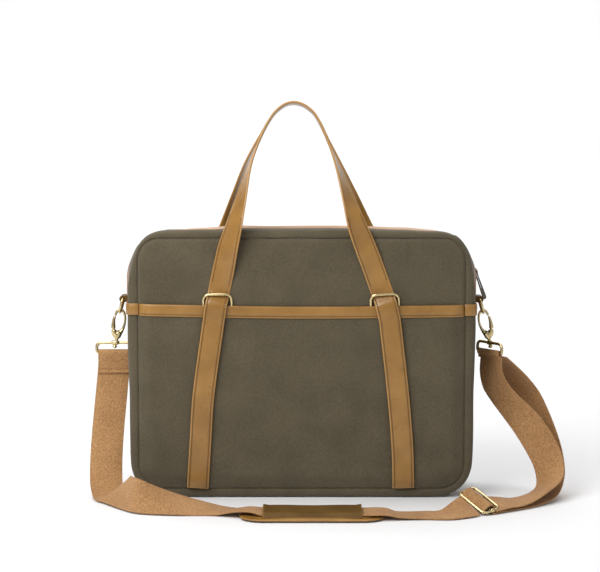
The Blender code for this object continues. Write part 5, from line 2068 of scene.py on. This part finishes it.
    def sleeve(self) -> Piece:
        """Make the arched leather sleeve over the webbing.

        Returns:
            The piece.
        """
        x, y = self.pad_centre
        section = [(-0.0225, 0.0047), (-0.0212, 0.0049), (-0.0200, 0.0062), (-0.0188, 0.0080),
                   (-0.0160, 0.0089),
                   (-0.0080, 0.0092), (0.0, 0.0094), (0.0080, 0.0098), (0.0150, 0.0104), (0.0185, 0.0098),
                   (0.0200, 0.0076), (0.0208, 0.0052), (0.0224, 0.0047)]
        skin = Skin(numbers={"edge": []})
        count = 60
        size = len(section)
        for i in range(count + 1):
            share = 2 * i / count - 1
            flare = 0.0011 * ease((abs(share) - 0.86) / 0.14)
            dip = 0.0005 * math.cos(share * 5.0)
            for b, z in section:
                top = ease((z - 0.006) / 0.003)
                skin.verts.append(Vector((x + share * 0.0550, y + b * (1 + 0.02 * abs(share)),
                                          z + (flare - dip * 0.5) * top)))
                skin.numbers["edge"].append(1.0 if abs(share) > 0.985 else 0.0)
        for i in range(count):
            for k in range(size - 1):
                a = i * size + k
                quad = (a, a + size, a + size + 1, a + 1)
                skin.face(quad, [(skin.verts[j].x, skin.verts[j].y) for j in quad])
        sleeve = skin.solid("pad_tunnel", recalculate=False, sharp=70.0)
        wall = sleeve.modifiers.new("leather thickness", "SOLIDIFY")
        wall.thickness = 0.0011
        wall.offset = -1.0
        return seat(sleeve, DARK_LEATHER, "root", ["pad_sleeve"])

    def build(self) -> None:
        """Make every piece of the shoulder strap."""
        extras = self.adjuster() + self.pad()
        self.stretches()


def inflate(piece: Piece, voxel: float, pressure: float, cap: float, frames: int) -> None:
    """Puff a closed solid with a short cloth simulation and keep the result in its mesh.

    Args:
        piece: the solid, which stays at the origin.
        voxel: the size of the even mesh that the cloth is made of.
        pressure: the air pressure inside.
        cap: how far a point may move.
        frames: how many steps the simulation takes.
    """
    remesh = piece.modifiers.new("even mesh", "REMESH")
    remesh.mode = "VOXEL"
    remesh.voxel_size = voxel
    apply_modifiers(piece)
    rest = [v.co.copy() for v in piece.data.vertices]
    cloth = piece.modifiers.new("air", "CLOTH")
    cloth.settings.use_pressure = True
    cloth.settings.uniform_pressure_force = pressure
    cloth.settings.effector_weights.gravity = 0.0
    cloth.settings.quality = 4
    scene = bpy.context.scene
    scene.frame_start, scene.frame_end = 1, frames
    for step in range(1, frames + 1):
        scene.frame_set(step)
    apply_modifiers(piece)
    for vertex, start in zip(piece.data.vertices, rest):
        move = vertex.co - start
        if move.length > cap:
            vertex.co = start + move.normalized() * cap
    scene.frame_set(1)
    smooth = piece.modifiers.new("soft skin", "SUBSURF")
    smooth.levels = smooth.render_levels = 1
    apply_modifiers(piece)
    piece.data.shade_smooth()


def apply_modifiers(piece: Piece) -> None:
    """Replace a piece's mesh with its evaluated one and drop its modifiers.

    Args:
        piece: the piece.
    """
    depsgraph = bpy.context.evaluated_depsgraph_get()
    made = bpy.data.meshes.new_from_object(piece.evaluated_get(depsgraph))
    old = piece.data
    piece.modifiers.clear()
    piece.data = made
    bpy.data.meshes.remove(old)


def clip_box(piece: Piece, low: Vector, high: Vector) -> None:
    """Press every point of a piece into a box.

    Args:
        piece: the piece.
        low: the lowest corner.
        high: the highest corner.
    """
    for vertex in piece.data.vertices:
        for axis in range(3):
            vertex.co[axis] = min(max(vertex.co[axis], low[axis]), high[axis])


# ---------------------------------------------------------------- studio

@dataclass
class Studio:
    """A pale floor that curves up behind the bag, soft lights and the camera."""

    camera_place: Point = (-0.0018, -2.045, 0.450)
    pitch: float = 5.765
    lens: float = 104.6

    def sweep(self) -> None:
        """Make the floor and backdrop as one curved sheet."""
        profile = [(-4.0, 0.0), (0.9, 0.0), (1.3, 0.02), (1.7, 0.12), (2.05, 0.34), (2.3, 0.7),
                   (2.42, 1.2), (2.45, 5.0)]
        skin = Skin()
        skin.grid([[Vector((x, y, z)) for x in (-6.0, -2.0, 2.0, 6.0)] for y, z in profile], ring=False)
        floor = skin.solid("studio_sweep", recalculate=False, sharp=80.0)
        floor.location.z = -0.0002
        paper = PlainFinish("studio_paper", "", (0.80, 0.80, 0.805), (0.77, 0.77, 0.775), 0.75, 2.0)
        floor.data.materials.append(SHELF.get(paper))

    def lamp(self, name: str, place: Point, aim: Point, size: float, power: float,
             colour: tuple[float, float, float] = (1.0, 1.0, 1.0)) -> None:
        """Make one soft square lamp.

        Args:
            name: its name.
            place: where it stands.
            aim: what it points at.
            size: its side.
            power: its power in watts.
            colour: its colour.
        """
        light = bpy.data.lights.new(name, "AREA")
        light.size = size
        light.energy = power
        light.color = colour
        lamp = bpy.data.objects.new(name, light)
        lamp.location = place
        lamp.rotation_mode = "QUATERNION"
        lamp.rotation_quaternion = (Vector(aim) - Vector(place)).to_track_quat("-Z", "Y")
        bpy.context.scene.collection.objects.link(lamp)

    def camera(self) -> None:
        """Make the camera."""
        data = bpy.data.cameras.new("studio_camera")
        data.lens = self.lens
        data.sensor_width = 36.0
        camera = bpy.data.objects.new("studio_camera", data)
        camera.location = self.camera_place
        camera.rotation_euler = (math.radians(90.0 - self.pitch), 0.0, 0.0)
        bpy.context.scene.collection.objects.link(camera)
        bpy.context.scene.camera = camera

    def build(self) -> None:
        """Set up the floor, the light and the camera."""
        self.camera()
        self.sweep()
        world = bpy.data.worlds.new("studio_world")
        world.use_nodes = True
        world.node_tree.nodes["Background"].inputs["Color"].default_value = (1.0, 1.0, 1.0, 1.0)
        world.node_tree.nodes["Background"].inputs["Strength"].default_value = 0.40
        bpy.context.scene.world = world
        self.lamp("key_above_left", (-0.55, -0.70, 0.98), (-0.03, 0.0, 0.28), 0.8, 13.0)
        self.lamp("fill_right", (2.0, -1.6, 1.1), (0.0, 0.0, 0.15), 1.8, 5.0)
        self.lamp("backdrop_wash", (0.0, 0.9, 2.6), (0.0, 2.3, 0.6), 2.2, 60.0)
        settings = bpy.context.scene.view_settings
        settings.view_transform = "Standard"
        settings.look = "None"


def main() -> None:
    """Build the studio and every piece of the bag."""
    logging.basicConfig(level=logging.INFO, format="%(name)s %(message)s")
    Studio().build()
    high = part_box("lower_gusset")[1]
    outline = Outline(high.x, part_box("top_strip_front")[1].z)
    shell = BagShell(outline, high.y)
    ShoulderStrap().build()
    shell.build()
    Zip(shell).build()
    FrontPocket(shell).build()
    LeatherStraps().build()
    for hanger in HANGERS:
        SideHardware(hanger).build()


if __name__ == "__main__":
    main()
